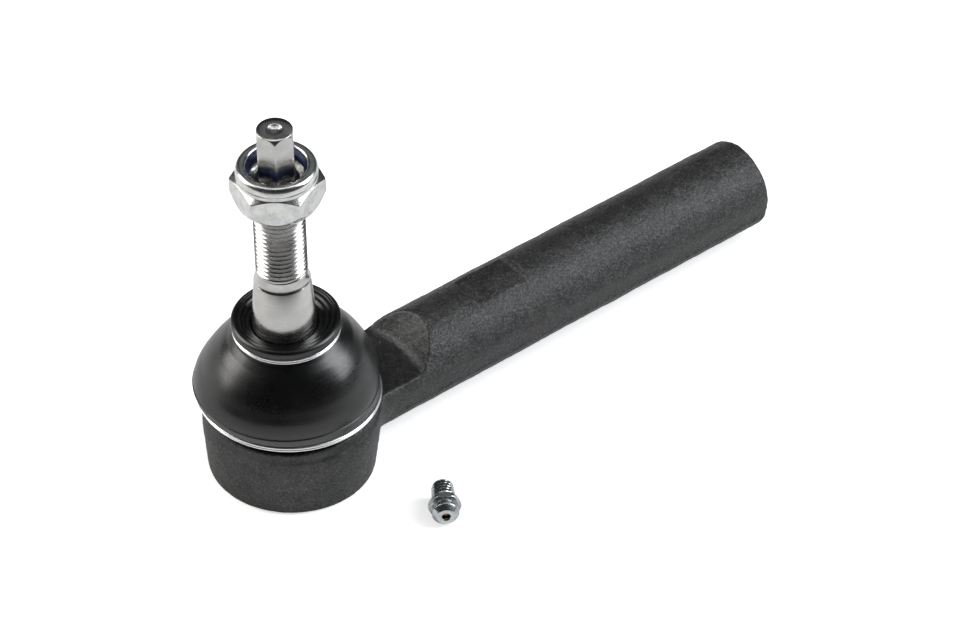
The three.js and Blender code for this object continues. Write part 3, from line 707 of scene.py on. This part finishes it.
def forged_root():
    """Oval sections from the cup to the arm."""
    reach = CUP_PARTING_R + FILLET_R
    end_x = math.sqrt(reach**2 - (ARM_ROOT_R + FILLET_R) ** 2)
    start_x = end_x * CUP_PARTING_R / reach
    stations = np.linspace(start_x, end_x, 24)
    rows = [(0, start_x), *[(1, x) for x in stations], (0, end_x)]
    corners, faces = turned(rows, 120)
    wide = np.array([root_half_width(x) for x in corners[:, 2]])
    y = corners[:, 0] * wide
    z = corners[:, 1] * ARM_ROOT_R
    return np.stack([corners[:, 2] + SKIN_X, y + SKIN_Y, z + ARM_AXIS_Z], -1), faces


def joined(parts):
    """Several bodies as one list of corners and faces."""
    corners = []
    faces = []
    for part_corners, part_faces in parts:
        first = sum(len(c) for c in corners)
        corners.append(np.asarray(part_corners))
        faces.extend([[c + first for c in face] for face in part_faces])
    return np.concatenate(corners), faces


def spanner_cut(side):
    """A wedge that cuts one spanner flat, above the arm for side 1 and below it for -1."""
    height = ARM_ROOT_R - FLAT_DEPTH
    middle = FLAT_X + FLAT_LENGTH / 2
    outline = [
        (middle - FLAT_LENGTH / 2 + FLAT_RUN / 2, height),
        (middle + FLAT_LENGTH / 2 - FLAT_RUN / 2, height),
        (middle + FLAT_LENGTH / 2 + FLAT_RUN * 1.5, height + 2 * FLAT_DEPTH),
        (middle - FLAT_LENGTH / 2 - FLAT_RUN * 1.5, height + 2 * FLAT_DEPTH),
    ]
    corners = [
        (x, y * 2 * ARM_ROOT_R + SKIN_Y, side * z + ARM_AXIS_Z)
        for y in (-0.5, 0.5)
        for x, z in outline
    ]
    ring = [[i, (i + 1) % 4, (i + 1) % 4 + 4, i + 4] for i in range(4)]
    return corners, [[3, 2, 1, 0], [4, 5, 6, 7], *ring]


def turned_clearance():
    """What the lathe takes off round the cup's shoulder and neck and the arm's root."""
    top = NECK_TOP_Z + 10
    nose_z = TURNED_Z + TURNED_NOSE_R
    length = math.hypot(1, TURNED_SLOPE)
    nose_r = TURNED_FLOOR_R + TURNED_SLOPE * TURNED_NOSE_R - TURNED_NOSE_R * length
    tilt = math.degrees(math.atan(TURNED_SLOPE))
    profile = eased([
        (0, NECK_TOP_Z),
        (NECK_LIP_R, NECK_TOP_Z, 0.5),
        (NECK_LIP_R, NECK_LIP_Z, 0.4),
        (NECK_R, NECK_LIP_Z - 0.5, 0.3),
        (NECK_R, SHOULDER_Z, 0.4),
        (TURNED_R, SHOULDER_Z, 0.5),
        (TURNED_R, TURNED_Z, 0.4),
        *arc(nose_r, nose_z, TURNED_NOSE_R, -90, -tilt, 12),
        (TURNED_FLOOR_R + TURNED_SLOPE * (top - TURNED_Z), top),
        (0, top),
    ])
    return turned(profile, 256)


def cavity():
    """The bore from below, the cover's counterbore and the mouth that the stud swings in."""
    cover_top = COVER_BOTTOM_Z + COVER_THICKNESS + GAP
    mouth = 5.8 / math.cos(math.atan(CONE)) + (BORE_TOP_Z - BALL_Z) * CONE + 2 * GAP
    top = NECK_TOP_Z + 1
    profile = eased([
        (0, -1),
        (COVER_LIP_R + 1.3, -1),
        (COVER_LIP_R + 0.35, -0.05),
        (COVER_LIP_R, 0.35, 0.2),
        (COVER_LIP_R, COVER_BOTTOM_Z - GAP, 0.15),
        (COVER_R + GAP, COVER_BOTTOM_Z - GAP, 0.15),
        (COVER_R + GAP, cover_top),
        (BORE_R, cover_top, 0.3),
        (BORE_R, BORE_TOP_Z, 0.3),
        (mouth, BORE_TOP_Z, 0.3),
        (mouth + (top - BORE_TOP_Z) * CONE, top),
        (0, top),
    ])
    return turned(profile, 192)


def socket_shape(r, z, turn):
    depth = SOCKET_THREAD_DEPTH
    cut = screw(r, z, turn, ARM_END_X - SOCKET_DEPTH + 8, ARM_END_X + 2, SOCKET_PITCH, depth, 3, False)
    return np.where(np.abs(r - SOCKET_CORE_R) < 0.01, cut, r), z


def arm_socket():
    """The threaded hole for the inner tie rod, as a solid to cut with."""
    bottom = ARM_END_X - SOCKET_DEPTH
    mouth = SOCKET_CORE_R + SOCKET_CHAMFER
    wall = fine([(SOCKET_CORE_R, bottom), (SOCKET_CORE_R, ARM_END_X - SOCKET_CHAMFER)], 0.2)
    profile = [
        (0, bottom - SOCKET_CORE_R * 0.6),
        *wall,
        (mouth, ARM_END_X),
        (mouth, ARM_END_X + 1),
        (0, ARM_END_X + 1),
    ]
    corners, faces = turned(profile, 72, socket_shape)
    return along_x(corners, SKIN_Y, ARM_AXIS_Z), faces


def apply_modifiers(obj):
    """Bakes the modifiers into the mesh."""
    evaluated = obj.evaluated_get(bpy.context.evaluated_depsgraph_get())
    mesh = bpy.data.meshes.new_from_object(evaluated)
    obj.modifiers.clear()
    obj.data = mesh


def subtract(obj, corners, faces):
    tool = mesh_object("tool", corners, faces)
    cut = obj.modifiers.new("cut", "BOOLEAN")
    cut.operation = "DIFFERENCE"
    cut.solver = "MANIFOLD"
    cut.object = tool
    apply_modifiers(obj)
    bpy.data.objects.remove(tool)


def roughen(obj, layers, keep):
    """Moves each corner along its normal by smooth noise; keep(place) says how much, 0 to 1."""
    mesh = obj.data
    normals = np.array([v.normal for v in mesh.vertices])
    places = np.array([v.co for v in mesh.vertices]) / MM
    shift = np.zeros(len(places))
    for size, depth in layers:
        values = [noise.noise(Vector(p) / size) for p in places]
        shift += np.array(values) * depth
    moved = places + normals * (shift * keep(places))[:, None]
    mesh.vertices.foreach_set("co", (moved * MM).ravel())
    mesh.update()


def forged_share(places):
    """The forging's roughness fades out on the cup's base and on the turned faces."""
    x, y, z = places.T
    r = np.hypot(x, y)
    outside = np.clip((r - TURNED_R) / 0.3, 0.2, 1)
    return np.clip(z / 1.5, 0, 1) * np.where(z > TURNED_Z - 0.3, outside, 1)


def flash_line(obj):
    """Raises the thin line that the dies' parting left along the camera side of the arm."""
    mesh = obj.data
    places = np.array([v.co for v in mesh.vertices]) / MM
    normals = np.array([v.normal for v in mesh.vertices])
    y = places[:, 1] - SKIN_Y
    z = places[:, 2] - ARM_AXIS_Z
    off = np.hypot(y, z)
    turn = np.arctan2(z, y)
    rise = np.zeros(len(places))
    for heading in FLASH_HEADINGS:
        away = np.angle(np.exp(1j * (turn - math.radians(heading)))) * off
        rise += FLASH_HEIGHT * np.exp(-((away / FLASH_HALF_WIDTH) ** 2))
    along = np.clip((places[:, 0] - 24) / 6, 0, 1) * np.clip((ARM_END_X - 1 - places[:, 0]) / 2, 0, 1)
    on_skin = off > ARM_END_R * 0.9
    moved = places + normals * (rise * along * on_skin)[:, None]
    mesh.vertices.foreach_set("co", (moved * MM).ravel())
    mesh.update()


def forged_blank():
    parts = joined([forged_cup(), forged_arm(), forged_root()])
    blank = mesh_object("housing_forging", *parts)
    remesh = blank.modifiers.new("skin", "REMESH")
    remesh.mode = "VOXEL"
    remesh.voxel_size = BLANK_VOXEL * MM
    remesh.use_smooth_shade = True
    apply_modifiers(blank)
    subtract(blank, *turned_clearance())
    again = blank.modifiers.new("skin", "REMESH")
    again.mode = "VOXEL"
    again.voxel_size = BLANK_VOXEL * MM
    soften = blank.modifiers.new("soften", "SMOOTH")
    soften.factor = 0.5
    soften.iterations = BLANK_SMOOTHING
    apply_modifiers(blank)
    roughen(blank, ((5.5, 0.1), (1.8, 0.06), (0.9, 0.05)), forged_share)
    flash_line(blank)
    return blank


def paint_housing(mesh):
    """Gives each face the forged, the turned or the bored finish by where it is; the turned finish has a
    smoother relief and darker colours, which are painted shade of the boot.
    """
    count = len(mesh.polygons)
    middle = np.zeros(count * 3)
    mesh.polygons.foreach_get("center", middle)
    x, y, z = (middle.reshape(-1, 3) / MM).T
    r = np.hypot(x, y)
    off_arm = np.hypot(y - SKIN_Y, z - ARM_AXIS_Z)
    wall = TURNED_FLOOR_R + TURNED_SLOPE * (z - TURNED_Z) + 0.03
    finish = np.zeros(count, int)
    finish[(z > TURNED_Z - 0.25) & (r < wall + 0.2)] = 1
    inside_bore = (r < COVER_R + GAP + 0.05) & (z > 0.3) & (z < BORE_TOP_Z + 0.05)
    finish[inside_bore] = 2
    in_socket = (off_arm < SOCKET_CORE_R + SOCKET_CHAMFER + 0.05) & (x > ARM_END_X - SOCKET_DEPTH - 6)
    finish[in_socket] = 2
    mesh.polygons.foreach_set("material_index", finish)


def housing():
    obj = forged_blank()
    for tool in (spanner_cut(1), spanner_cut(-1), cavity(), arm_socket()):
        subtract(obj, *tool)
    smooth(obj, 38)
    obj.matrix_world = BORE_FRAME
    # the second material is the forged coat with less relief and colours at 0.4: painted shade of the boot on
    # the turned faces
    piece(obj, "housing", [forged_black(), forged_black("turned_skin_painted_shade", 0.4, 0.4), bare_bore()])
    paint_housing(obj.data)


# ------------------------------------------------------------------ bearing and cover

BALL_R = 9.5
SEAT_SPLIT_Z = 14.1
SEAT_BOTTOM_Z = 5


def hollow_arc(start_z, end_z):
    sphere = BALL_R + GAP
    start = math.degrees(math.asin((start_z - BALL_Z) / sphere))
    end = math.degrees(math.asin((end_z - BALL_Z) / sphere))
    return arc(0, BALL_Z, sphere, start, end, 20)


def grease_grooves(r, z, turn):
    """Four shallow grooves down the hollow of a seat."""
    inside = np.hypot(r, z - BALL_Z) < BALL_R + GAP + 0.02
    across = np.abs(np.sin(2 * turn)) * r / 2
    groove = 0.4 * np.clip(1 - across / 0.9, 0, 1)
    return np.where(inside, r + groove, r), z


def upper_seat():
    outer = BORE_R - GAP
    top = BORE_TOP_Z - GAP
    edge_z = BALL_Z + 4.6
    edge_r = math.sqrt((BALL_R + GAP) ** 2 - (edge_z - BALL_Z) ** 2)
    profile = eased([
        (outer, SEAT_SPLIT_Z + GAP, 0.3),
        (outer, top, 0.5),
        (edge_r + GAP + (top - edge_z) * CONE, top, 0.2),
        *hollow_arc(edge_z, SEAT_SPLIT_Z + GAP),
    ])
    obj = mesh_object("upper_seat_polymer", *turned(profile, 144, grease_grooves), BORE_FRAME)
    return piece(obj, "upper_bearing_seat", [seat_polymer()])


def lower_seat():
    outer = BORE_R - GAP
    profile = eased([
        (outer - 2, SEAT_BOTTOM_Z, 0.2),
        (outer, SEAT_BOTTOM_Z + 2, 0.6),
        (outer, SEAT_SPLIT_Z, 0.3),
        *hollow_arc(SEAT_SPLIT_Z, SEAT_BOTTOM_Z),
    ])
    obj = mesh_object("lower_seat_polymer", *turned(profile, 144, grease_grooves), BORE_FRAME)
    return piece(obj, "lower_bearing_seat", [seat_polymer()])


def disc_spring():
    bottom = COVER_BOTTOM_Z + COVER_THICKNESS + GAP
    profile = eased([
        (12.4, bottom, 0.15),
        (12.4, bottom + 0.7, 0.15),
        (6.5, bottom + 1.45, 0.15),
        (6.5, bottom + 0.75, 0.15),
    ])
    obj = mesh_object("preload_disc_spring", *turned(profile, 144), BORE_FRAME)
    steel = pressed_steel("disc_spring_steel", (0.2, 0.2, 0.21), (0.34, 0.34, 0.35))
    return piece(obj, "preload_spring", [steel])


def cover_shape(r, z, turn):
    """The M6 thread of the grease hole."""
    low = COVER_BOTTOM_Z
    cut = screw(r, z, turn, low - 1, low + COVER_THICKNESS + 1, 1, 0.45, 0.2, False)
    return np.where(r < 2.55, cut, r), z


def cover_plate():
    low = COVER_BOTTOM_Z
    top = low + COVER_THICKNESS
    hole = fine([(2.5, top), (2.5, low + 0.35)], 0.08)
    profile = [
        *hole,
        *eased([(2.95, low, 0.1), (4.6, low, 0.1), (5.2, low + 0.22, 0.25), (11.4, low + 0.22, 0.25)])[:],
        *eased([(12.2, low, 0.25), (COVER_R - 0.1, low, 0.35), (COVER_R, low + 0.5, 0.2), (COVER_R, top, 0.2)]),
    ]
    obj = mesh_object("cover_plate_steel", *turned(profile, 144, cover_shape), BORE_FRAME)
    steel = pressed_steel("cover_plate_zinc", (0.42, 0.43, 0.44), (0.62, 0.63, 0.63))
    return piece(obj, "cover_plate", [steel])


# ------------------------------------------------------------------ stud and nut, along the stud

NECK_STUD_R = 5.8
TAPER_START = 21.5
TAPER_START_R = 8.02
TAPER_END = 42
TAPER_END_R = 6.58
THREAD_START = 45.2
THREAD_R = 6
THREAD_END = 72.8
THREAD_PITCH = 1.25
THREAD_DEPTH = 0.74
TIP_FLATS = 8.2
TIP_HEADING = -127.7  # one corner of the tip's hexagon
TIP_END = 86.5
TIP_CORNER_R = TIP_FLATS / math.sqrt(3)
NUT_START = 66
NUT_HEX_TOP = 73.05  # upper edge of a flat's middle
NUT_HEX_END = 73.8  # foot of the crown
NUT_END = 76.5
NUT_FLATS = 19
NUT_HEADING = -130.7  # the middle of one flat
NUT_CORNER_R = NUT_FLATS / math.sqrt(3)
NUT_FACE_R = 9.3
CROWN_R = 9.4


def taper_r(s):
    share = (s - TAPER_START) / (TAPER_END - TAPER_START)
    return TAPER_START_R + share * (TAPER_END_R - TAPER_START_R)


def stud_shape(r, s, turn):
    threaded = screw(r, s, turn, THREAD_START, THREAD_END, THREAD_PITCH, THREAD_DEPTH, 1.3)
    r = np.where((s > THREAD_START) & (s < THREAD_END), threaded, r)
    flats = hexagon(turn, TIP_FLATS, TIP_HEADING - 30)
    return np.where(s > THREAD_END + 0.01, np.minimum(r, flats), r), s


def ball_stud():
    flat = -75
    neck = math.degrees(math.acos(NECK_STUD_R / BALL_R))
    shank = eased([
        (0, BALL_R * math.sin(math.radians(flat))),
        *arc(0, 0, BALL_R, flat, neck, 40),
        (NECK_STUD_R, 13.5, 2),
        (6.87, 17.5, 2),
        (TAPER_START_R, TAPER_START, 1.2),
        (TAPER_END_R, TAPER_END + 0.4),
        (TAPER_END_R - 0.04, TAPER_END + 0.45),
        (TAPER_END_R - 0.34, TAPER_END + 0.98, 0.2),
        (TAPER_END_R - 0.53, TAPER_END + 1.6, 0.3),
        (6.01, THREAD_START - 0.8, 0.3),
        (THREAD_R, THREAD_START),
    ])
    thread = fine([(THREAD_R, THREAD_START), (THREAD_R, THREAD_END - 1)], THREAD_PITCH / 25)
    run_off = fine([(THREAD_R, THREAD_END - 1), (4.95, THREAD_END)], 0.1)
    tip = eased([
        (TIP_CORNER_R, THREAD_END + 0.25, 0.2),
        (TIP_CORNER_R, TIP_END - 1.35),
    ])
    chamfer = fine([(TIP_CORNER_R, TIP_END - 1.35), (TIP_FLATS / 2, TIP_END - 0.05)], 0.06)
    end = eased([
        (TIP_FLATS / 2 - 0.06, TIP_END),
        (2, TIP_END - 0.02, 0.15),
        (1.5, TIP_END - 0.3, 0.25),
        (0.8, TIP_END - 0.62, 0.25),
        (0, TIP_END - 0.7),
    ])
    profile = [*shank[:-1], *thread[:-1], *run_off, *tip[:-1], *chamfer, *end]
    obj = mesh_object("ball_stud_steel", *turned(profile, 108, stud_shape), STUD_FRAME, 61)
    count = len(obj.data.polygons)
    middle = np.zeros(count * 3)
    obj.data.polygons.foreach_get("center", middle)
    x, y, s = (middle.reshape(-1, 3) / MM).T
    finish = np.zeros(count, int)
    finish[(s > THREAD_START + 0.2) & (s < THREAD_END + 0.2)] = 1
    finish[s > TIP_END - 1.6] = 2
    hexed = hexagon(np.arctan2(y, x), TIP_FLATS, TIP_HEADING - 30)
    on_flat = np.abs(np.hypot(x, y) - hexed) < 0.03
    finish[(s > THREAD_END + 0.2) & ((s <= TIP_END - 1.6) | (on_flat & (s < TIP_END - 0.2)))] = 3
    obj.data.polygons.foreach_set("material_index", finish)
    materials = [
        ground_steel("ground_taper_steel", (0.5, 0.492, 0.475), (0.6, 0.595, 0.58), 0.16),
        thread_steel(),
        end_steel(),
        ground_steel("drawn_tip_steel", (0.44, 0.436, 0.425), (0.64, 0.635, 0.62), 0.26, (80, 75)),
    ]
    return piece(obj, "ball_stud", materials)


def nut_shape(r, s, turn):
    flats = hexagon(turn, NUT_FLATS, NUT_HEADING)
    body = (s < NUT_HEX_TOP + 0.001) & (r > CROWN_R + 0.001)
    r = np.where(body, np.minimum(r, flats), r)
    bore = np.abs(r - THREAD_R - GAP) < 0.01
    cut = screw(r, s, turn, NUT_START, NUT_HEX_END - 0.6, THREAD_PITCH, 0.5, 0.6, False)
    return np.where(bore, cut, r), s


def lock_nut():
    bore = THREAD_R + GAP
    lower = fine([(NUT_FACE_R, NUT_START), (NUT_CORNER_R, NUT_START + 2.6)], 0.1)
    sides = [(NUT_CORNER_R, NUT_START + 2.6), (NUT_CORNER_R, NUT_HEX_TOP - 1.02)]
    upper = fine([(NUT_CORNER_R, NUT_HEX_TOP - 1.02), (CROWN_R + 0.08, NUT_HEX_TOP)], 0.06)
    crown = eased([
        (CROWN_R - 0.02, NUT_HEX_TOP + 0.12, 0.1),
        (CROWN_R - 0.14, NUT_HEX_END - 0.2, 0.25),
        (CROWN_R - 0.16, NUT_HEX_END + 0.2, 0.2),
        (CROWN_R, NUT_HEX_END + 0.5, 0.3),
        (CROWN_R, NUT_END - 1.2, 0.7),
        (8.9, NUT_END - 0.25, 0.7),
        (7.9, NUT_END, 0.5),
        (7.2, NUT_END - 0.2, 0.3),
        (6.95, NUT_END - 0.55, 0.15),
        (6.95, 75.8, 0.1),
        (8, 75.8),
        (8, 73.1),
        (bore, 73.1),
    ])
    inside = fine([(bore, 73.1), (bore, NUT_START + 0.6)], 0.12)
    profile = [(bore + 0.6, NUT_START), *lower, *sides[1:], *upper[1:], *crown, *inside[1:]]
    obj = mesh_object("lock_nut_zinc", *turned(profile, 216, nut_shape), STUD_FRAME, 28)
    return piece(obj, "lock_nut", [zinc("nut_zinc_plate")])


def nylon_insert():
    inner = 6.08
    profile = eased([
        (inner + 0.12, 73.4, 0.2),
        (7.7, 73.4, 0.2),
        (7.7, 75.7, 0.2),
        (6.85, 75.7, 0.3),
        (inner, 74.9, 0.3),
        (inner, 74, 0.2),
    ])
    obj = mesh_object("nylon_insert_ring", *turned(profile, 144), STUD_FRAME)
    return piece(obj, "nylon_insert", [navy_nylon()])


# ------------------------------------------------------------------ boot and rings

BAND_BOTTOM_Z = 22.42
BAND_TOP_Z = 24.6
BEND_START = 20
BEND_END = 41
BOOT_WALL = 1.6
FOOT_INNER_R = NECK_R + GAP
LIP_R = 12.85
LIP_TOP = 44.8
COLLAR_GRIP = 39.4  # the collar grips the stud from here up
RING_END = 42.45
WIRE_R = 0.3
WIRE_PITCH = 0.61
UPPER_WIRE_R = 12.3
LOWER_WIRE_R = 21.32
DOME = (
    (21.6, 24.95),
    (21.5, 26.5),
    (20.95, 28.5),
    (20.05, 30.5),
    (19.05, 32.5),
    (17.8, 34.5),
    (16.3, 36.5),
    (14.5, 38.5),
    (12.65, 40.3),
)
SAG_HEADING = math.radians(-39.9)  # the moulding sits unevenly, sideways of the bore
SAG_HEIGHTS = (22.3, 22.9, 24.6, 30, 35.5, 38.5, 40.4, 41.2)
SAG_SHIFTS = (0, -0.45, -0.7, 0.15, 0.85, 1.05, 0.7, 0.35)


def collar_r(z):
    return taper_r(z - BALL_Z) + 0.12


def lip_ridges():
    """The dished top of the lip, with concentric ridges."""
    points = []
    outer = LIP_R - 1.3
    inner = collar_r(LIP_TOP - 1.5) + 0.7
    for i in range(49):
        share = i / 48
        r = outer + (inner - outer) * share
        dish = 0.3 + 1.2 * share**1.4
        ridge = 0.05 * math.cos(share * TURN * 3)
        points.append((r, LIP_TOP - dish + ridge))
    return points


def boot_outside():
    foot = SHOULDER_Z + GAP
    groove_r = UPPER_WIRE_R - WIRE_R
    lower = eased([
        (FOOT_INNER_R, foot),
        (20, foot, 0.3),
        (20.25, foot + 1, 0.2),
        (20.98, foot + 1.45, 0.2),
        (20.98, BAND_BOTTOM_Z - 0.05, 0.15),
        (21.35, BAND_BOTTOM_Z, 0.2),
        (21.56, BAND_BOTTOM_Z + 0.35, 0.25),
        (21.76, BAND_TOP_Z - 0.3, 0.3),
        (21.76, BAND_TOP_Z, 0.12),
        (21.5, BAND_TOP_Z + 0.1, 0.06),
        (21.5, BAND_TOP_Z + 0.22, 0.05),
    ])
    upper = eased([
        (groove_r + 0.25, 40.8, 0.25),
        (groove_r, 41.05, 0.15),
        (groove_r, RING_END - 0.1, 0.2),
        (LIP_R - 0.15, RING_END + 0.05, 0.25),
        (LIP_R, LIP_TOP - 0.6, 0.7),
        (LIP_R - 0.75, LIP_TOP, 0.55),
        (LIP_R - 1.25, LIP_TOP - 0.1, 0.2),
    ])
    return [*lower, *spline(DOME, 8), *upper, *lip_ridges()]


def boot_inside():
    outer = spline(DOME, 8)
    walls = []
    for i in range(len(outer) - 5, 6, -2):
        along = Vector(outer[i + 1]) - Vector(outer[i - 1])
        along.normalize()
        walls.append((outer[i][0] - along.y * BOOT_WALL, outer[i][1] + along.x * BOOT_WALL))
    seat = LIP_TOP - 2.1
    return [
        (collar_r(seat), seat),
        (collar_r(COLLAR_GRIP), COLLAR_GRIP),
        (collar_r(COLLAR_GRIP) + 1, COLLAR_GRIP - 0.6),
        *walls,
        (NECK_LIP_R + 2 * GAP, NECK_TOP_Z + 2 * GAP),
        (NECK_LIP_R + GAP, NECK_LIP_Z + 0.5),
        (FOOT_INNER_R, NECK_LIP_Z - 0.6),
    ]


def boot_sag(corners):
    """Shifts the dome and the lip sideways, but not the foot or the collar's bore."""
    r = np.hypot(corners[:, 0], corners[:, 1])
    z = corners[:, 2]
    hold = np.where(z < NECK_TOP_Z + 1, NECK_LIP_R + 1.2, 9)
    share = np.clip((r - hold) / 1.5, 0, 1)
    shift = np.interp(z, SAG_HEIGHTS, SAG_SHIFTS) * share
    way = np.array([math.cos(SAG_HEADING), math.sin(SAG_HEADING), 0])
    return corners + shift[:, None] * way


def boot_bend(corners):
    """Leans the boot's upper part with the stud, and the part between gradually."""
    axis = np.array(TILT_HINGE)
    centre = np.array([0, 0, BALL_Z])
    t = np.clip((corners[:, 2] - BEND_START) / (BEND_END - BEND_START), 0, 1)
    angle = (LEAN * t * t * (3 - 2 * t))[:, None]
    v = corners - centre
    along = (v @ axis)[:, None] * axis
    return centre + v * np.cos(angle) + np.cross(axis, v) * np.sin(angle) + along * (1 - np.cos(angle))


def dust_boot():
    profile = fine([*boot_outside(), *boot_inside()], 0.7)
    corners, faces = turned(profile, 180)
    obj = mesh_object("dust_boot_rubber", boot_sag(corners), faces, BORE_FRAME, 50)
    rest = np.array([v.co for v in obj.data.vertices])
    place = obj.data.attributes.new("rest_place", "FLOAT_VECTOR", "POINT")
    place.data.foreach_set("vector", rest.astype(np.float32).ravel())
    obj.data.vertices.foreach_set("co", (boot_bend(rest / MM) * MM).astype(np.float32).ravel())
    obj.data.materials.append(boot_rubber())
    obj.data.update()
    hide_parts("dust_boot")
    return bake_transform(obj)


def wire_rings():
    plate = polished_wire()
    lower = double_ring(LOWER_WIRE_R, WIRE_R, 21.05 + WIRE_R, WIRE_PITCH, 49)
    obj = mesh_object("lower_boot_wire", *lower, BORE_FRAME, 60)
    piece(obj, "lower_boot_ring", [plate])
    corners, faces = double_ring(UPPER_WIRE_R, WIRE_R, 26.6 + WIRE_R, WIRE_PITCH, 49)
    shift = SAG_SHIFTS[-1] * np.array([math.cos(SAG_HEADING), math.sin(SAG_HEADING), 0])
    obj = mesh_object("upper_boot_wire", corners + shift, faces, STUD_FRAME, 60)
    piece(obj, "upper_boot_ring", [plate])


# ------------------------------------------------------------------ grease fitting, along its axis

FITTING_FLATS = 7
FITTING_LENGTH = 10.8
FITTING_HEX = (5.6, 7.9)


def fitting_shape(r, s, turn):
    threaded = screw(r, s, turn, 0.3, 5.3, 1, 0.42, 0.5)
    outer = (r > 2) & (s < 5.3)
    r = np.where(outer, threaded, r)
    flats = hexagon(turn, FITTING_FLATS, 0, 70)
    body = (s > FITTING_HEX[0] - 0.01) & (s < FITTING_HEX[1] + 0.01) & (r > 2.45)
    return np.where(body, np.minimum(r, flats), r), s


def grease_fitting():
    shank = fine([(2.35, 0.25), (2.6, 0.6), (2.9, 5.1)], 0.08)
    hexagon_rows = fine(eased([
        (2.75, 5.3, 0.1),
        (3.3, 5.6, 0.1),
        (3.88, 6.15, 0.2),
        (3.88, 7.35, 0.2),
        (3.3, 7.9, 0.1),
    ]), 0.07)
    head = eased([
        (2.42, 7.95, 0.1),
        (2.3, 8.45, 0.3),
        (3.2, 9.15, 0.2),
        (3.25, 9.55, 0.2),
        (2.15, 10.75, 0.15),
        (1.15, FITTING_LENGTH, 0.12),
        (0.98, 10.6, 0.05),
        (0.98, 9.9),
        (1.6, 9.4),
        (1.6, 1.2),
        (1, 1.2),
        (1, 0.1, 0.1),
        (2.2, 0, 0.15),
    ])
    profile = [*shank, *hexagon_rows, *head]
    obj = mesh_object("grease_fitting_zinc", *turned(profile, 144, fitting_shape), FITTING_FRAME, 32)
    plate = zinc("fitting_zinc_plate", (0.66, 0.68, 0.67), (0.46, 0.49, 0.5), 0.2, 1.3)
    return piece(obj, "grease_fitting_body", [plate])


def check_ball():
    rows = arc(0, CHECK_BALL_AT, 1.2, -90, 90, 24)
    rows[0] = (0, rows[0][1])
    rows[-1] = (0, rows[-1][1])
    obj = mesh_object("grease_check_ball", *turned(rows, 48), FITTING_FRAME)
    return piece(obj, "fitting_check_ball", [brown_ball()])


def check_spring():
    thick = 0.16
    low = 1.2 + GAP + thick
    high = CHECK_BALL_AT - 1.2 - GAP / 3 - thick
    turns = 5
    body = coil(1.05, thick, low, (high - low) / turns, turns)
    obj = mesh_object("grease_spring_wire", *body, FITTING_FRAME, 60)
    piece(obj, "fitting_spring", [polished_wire()])
    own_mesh(obj)


# ------------------------------------------------------------------ floor and light

FLOOR_HALF = 6.0
TARGET = Vector((0, 0, 0.03))


def make_floor():
    corners = [(-FLOOR_HALF, -FLOOR_HALF), (FLOOR_HALF, -FLOOR_HALF)]
    corners += [(FLOOR_HALF, FLOOR_HALF), (-FLOOR_HALF, FLOOR_HALF)]
    places = [(x / MM, y / MM, 0) for x, y in corners]
    floor = mesh_object("floor", places, [[0, 1, 2, 3]])
    floor.data.materials.append(pale_floor())


def softbox(name, heading, elevation, distance, width, height, power, colour=(1, 1, 1)):
    """An area light that looks at the part from a heading (from +X towards +Y) and elevation."""
    light = bpy.data.lights.new(name, "AREA")
    light.shape = "RECTANGLE"
    light.size = width
    light.size_y = height
    light.energy = power
    light.color = colour
    obj = bpy.data.objects.new(name, light)
    h = math.radians(heading)
    e = math.radians(elevation)
    out = Vector((math.cos(h) * math.cos(e), math.sin(h) * math.cos(e), math.sin(e)))
    obj.location = TARGET + out * distance
    obj.rotation_mode = "QUATERNION"
    obj.rotation_quaternion = out.to_track_quat("Z", "Y")
    obj.visible_camera = False
    bpy.context.scene.collection.objects.link(obj)


def make_world():
    """White to the camera and a dim grey to everything else."""
    world = bpy.data.worlds.new("studio")
    world.use_nodes = True
    tree = world.node_tree
    seen = tree.nodes["Background"]
    seen.inputs["Color"].default_value = (1, 1, 1, 1)
    dim = tree.nodes.new("ShaderNodeBackground")
    dim.inputs["Color"].default_value = (0.9, 0.95, 1, 1)
    dim.inputs["Strength"].default_value = 0.025
    path = tree.nodes.new("ShaderNodeLightPath")
    choose = tree.nodes.new("ShaderNodeMixShader")
    tree.links.new(path.outputs["Is Camera Ray"], choose.inputs["Fac"])
    tree.links.new(dim.outputs["Background"], choose.inputs[1])
    tree.links.new(seen.outputs["Background"], choose.inputs[2])
    tree.links.new(choose.outputs["Shader"], tree.nodes["World Output"].inputs["Surface"])
    bpy.context.scene.world = world


def make_lights():
    softbox("right_box", 320, 38, 1.1, 0.6, 0.9, 10.5, (0.94, 0.965, 1))
    softbox("left_box", 132, 30, 1.1, 0.6, 0.9, 8.2, (1, 0.985, 0.96))
    softbox("top_box", 49, 84, 1.3, 1.5, 0.4, 3)
    softbox("back_box", 49, 46, 1.6, 1.2, 0.8, 0.4, (0.9, 0.95, 1))
    make_world()
    bpy.context.scene.view_settings.view_transform = "Standard"


# ------------------------------------------------------------------ the whole scene

make_camera()
make_floor()
make_lights()
housing()
upper_seat()
lower_seat()
disc_spring()
cover_plate()
ball_stud()
lock_nut()
nylon_insert()
dust_boot()
wire_rings()
grease_fitting()
check_ball()
check_spring()
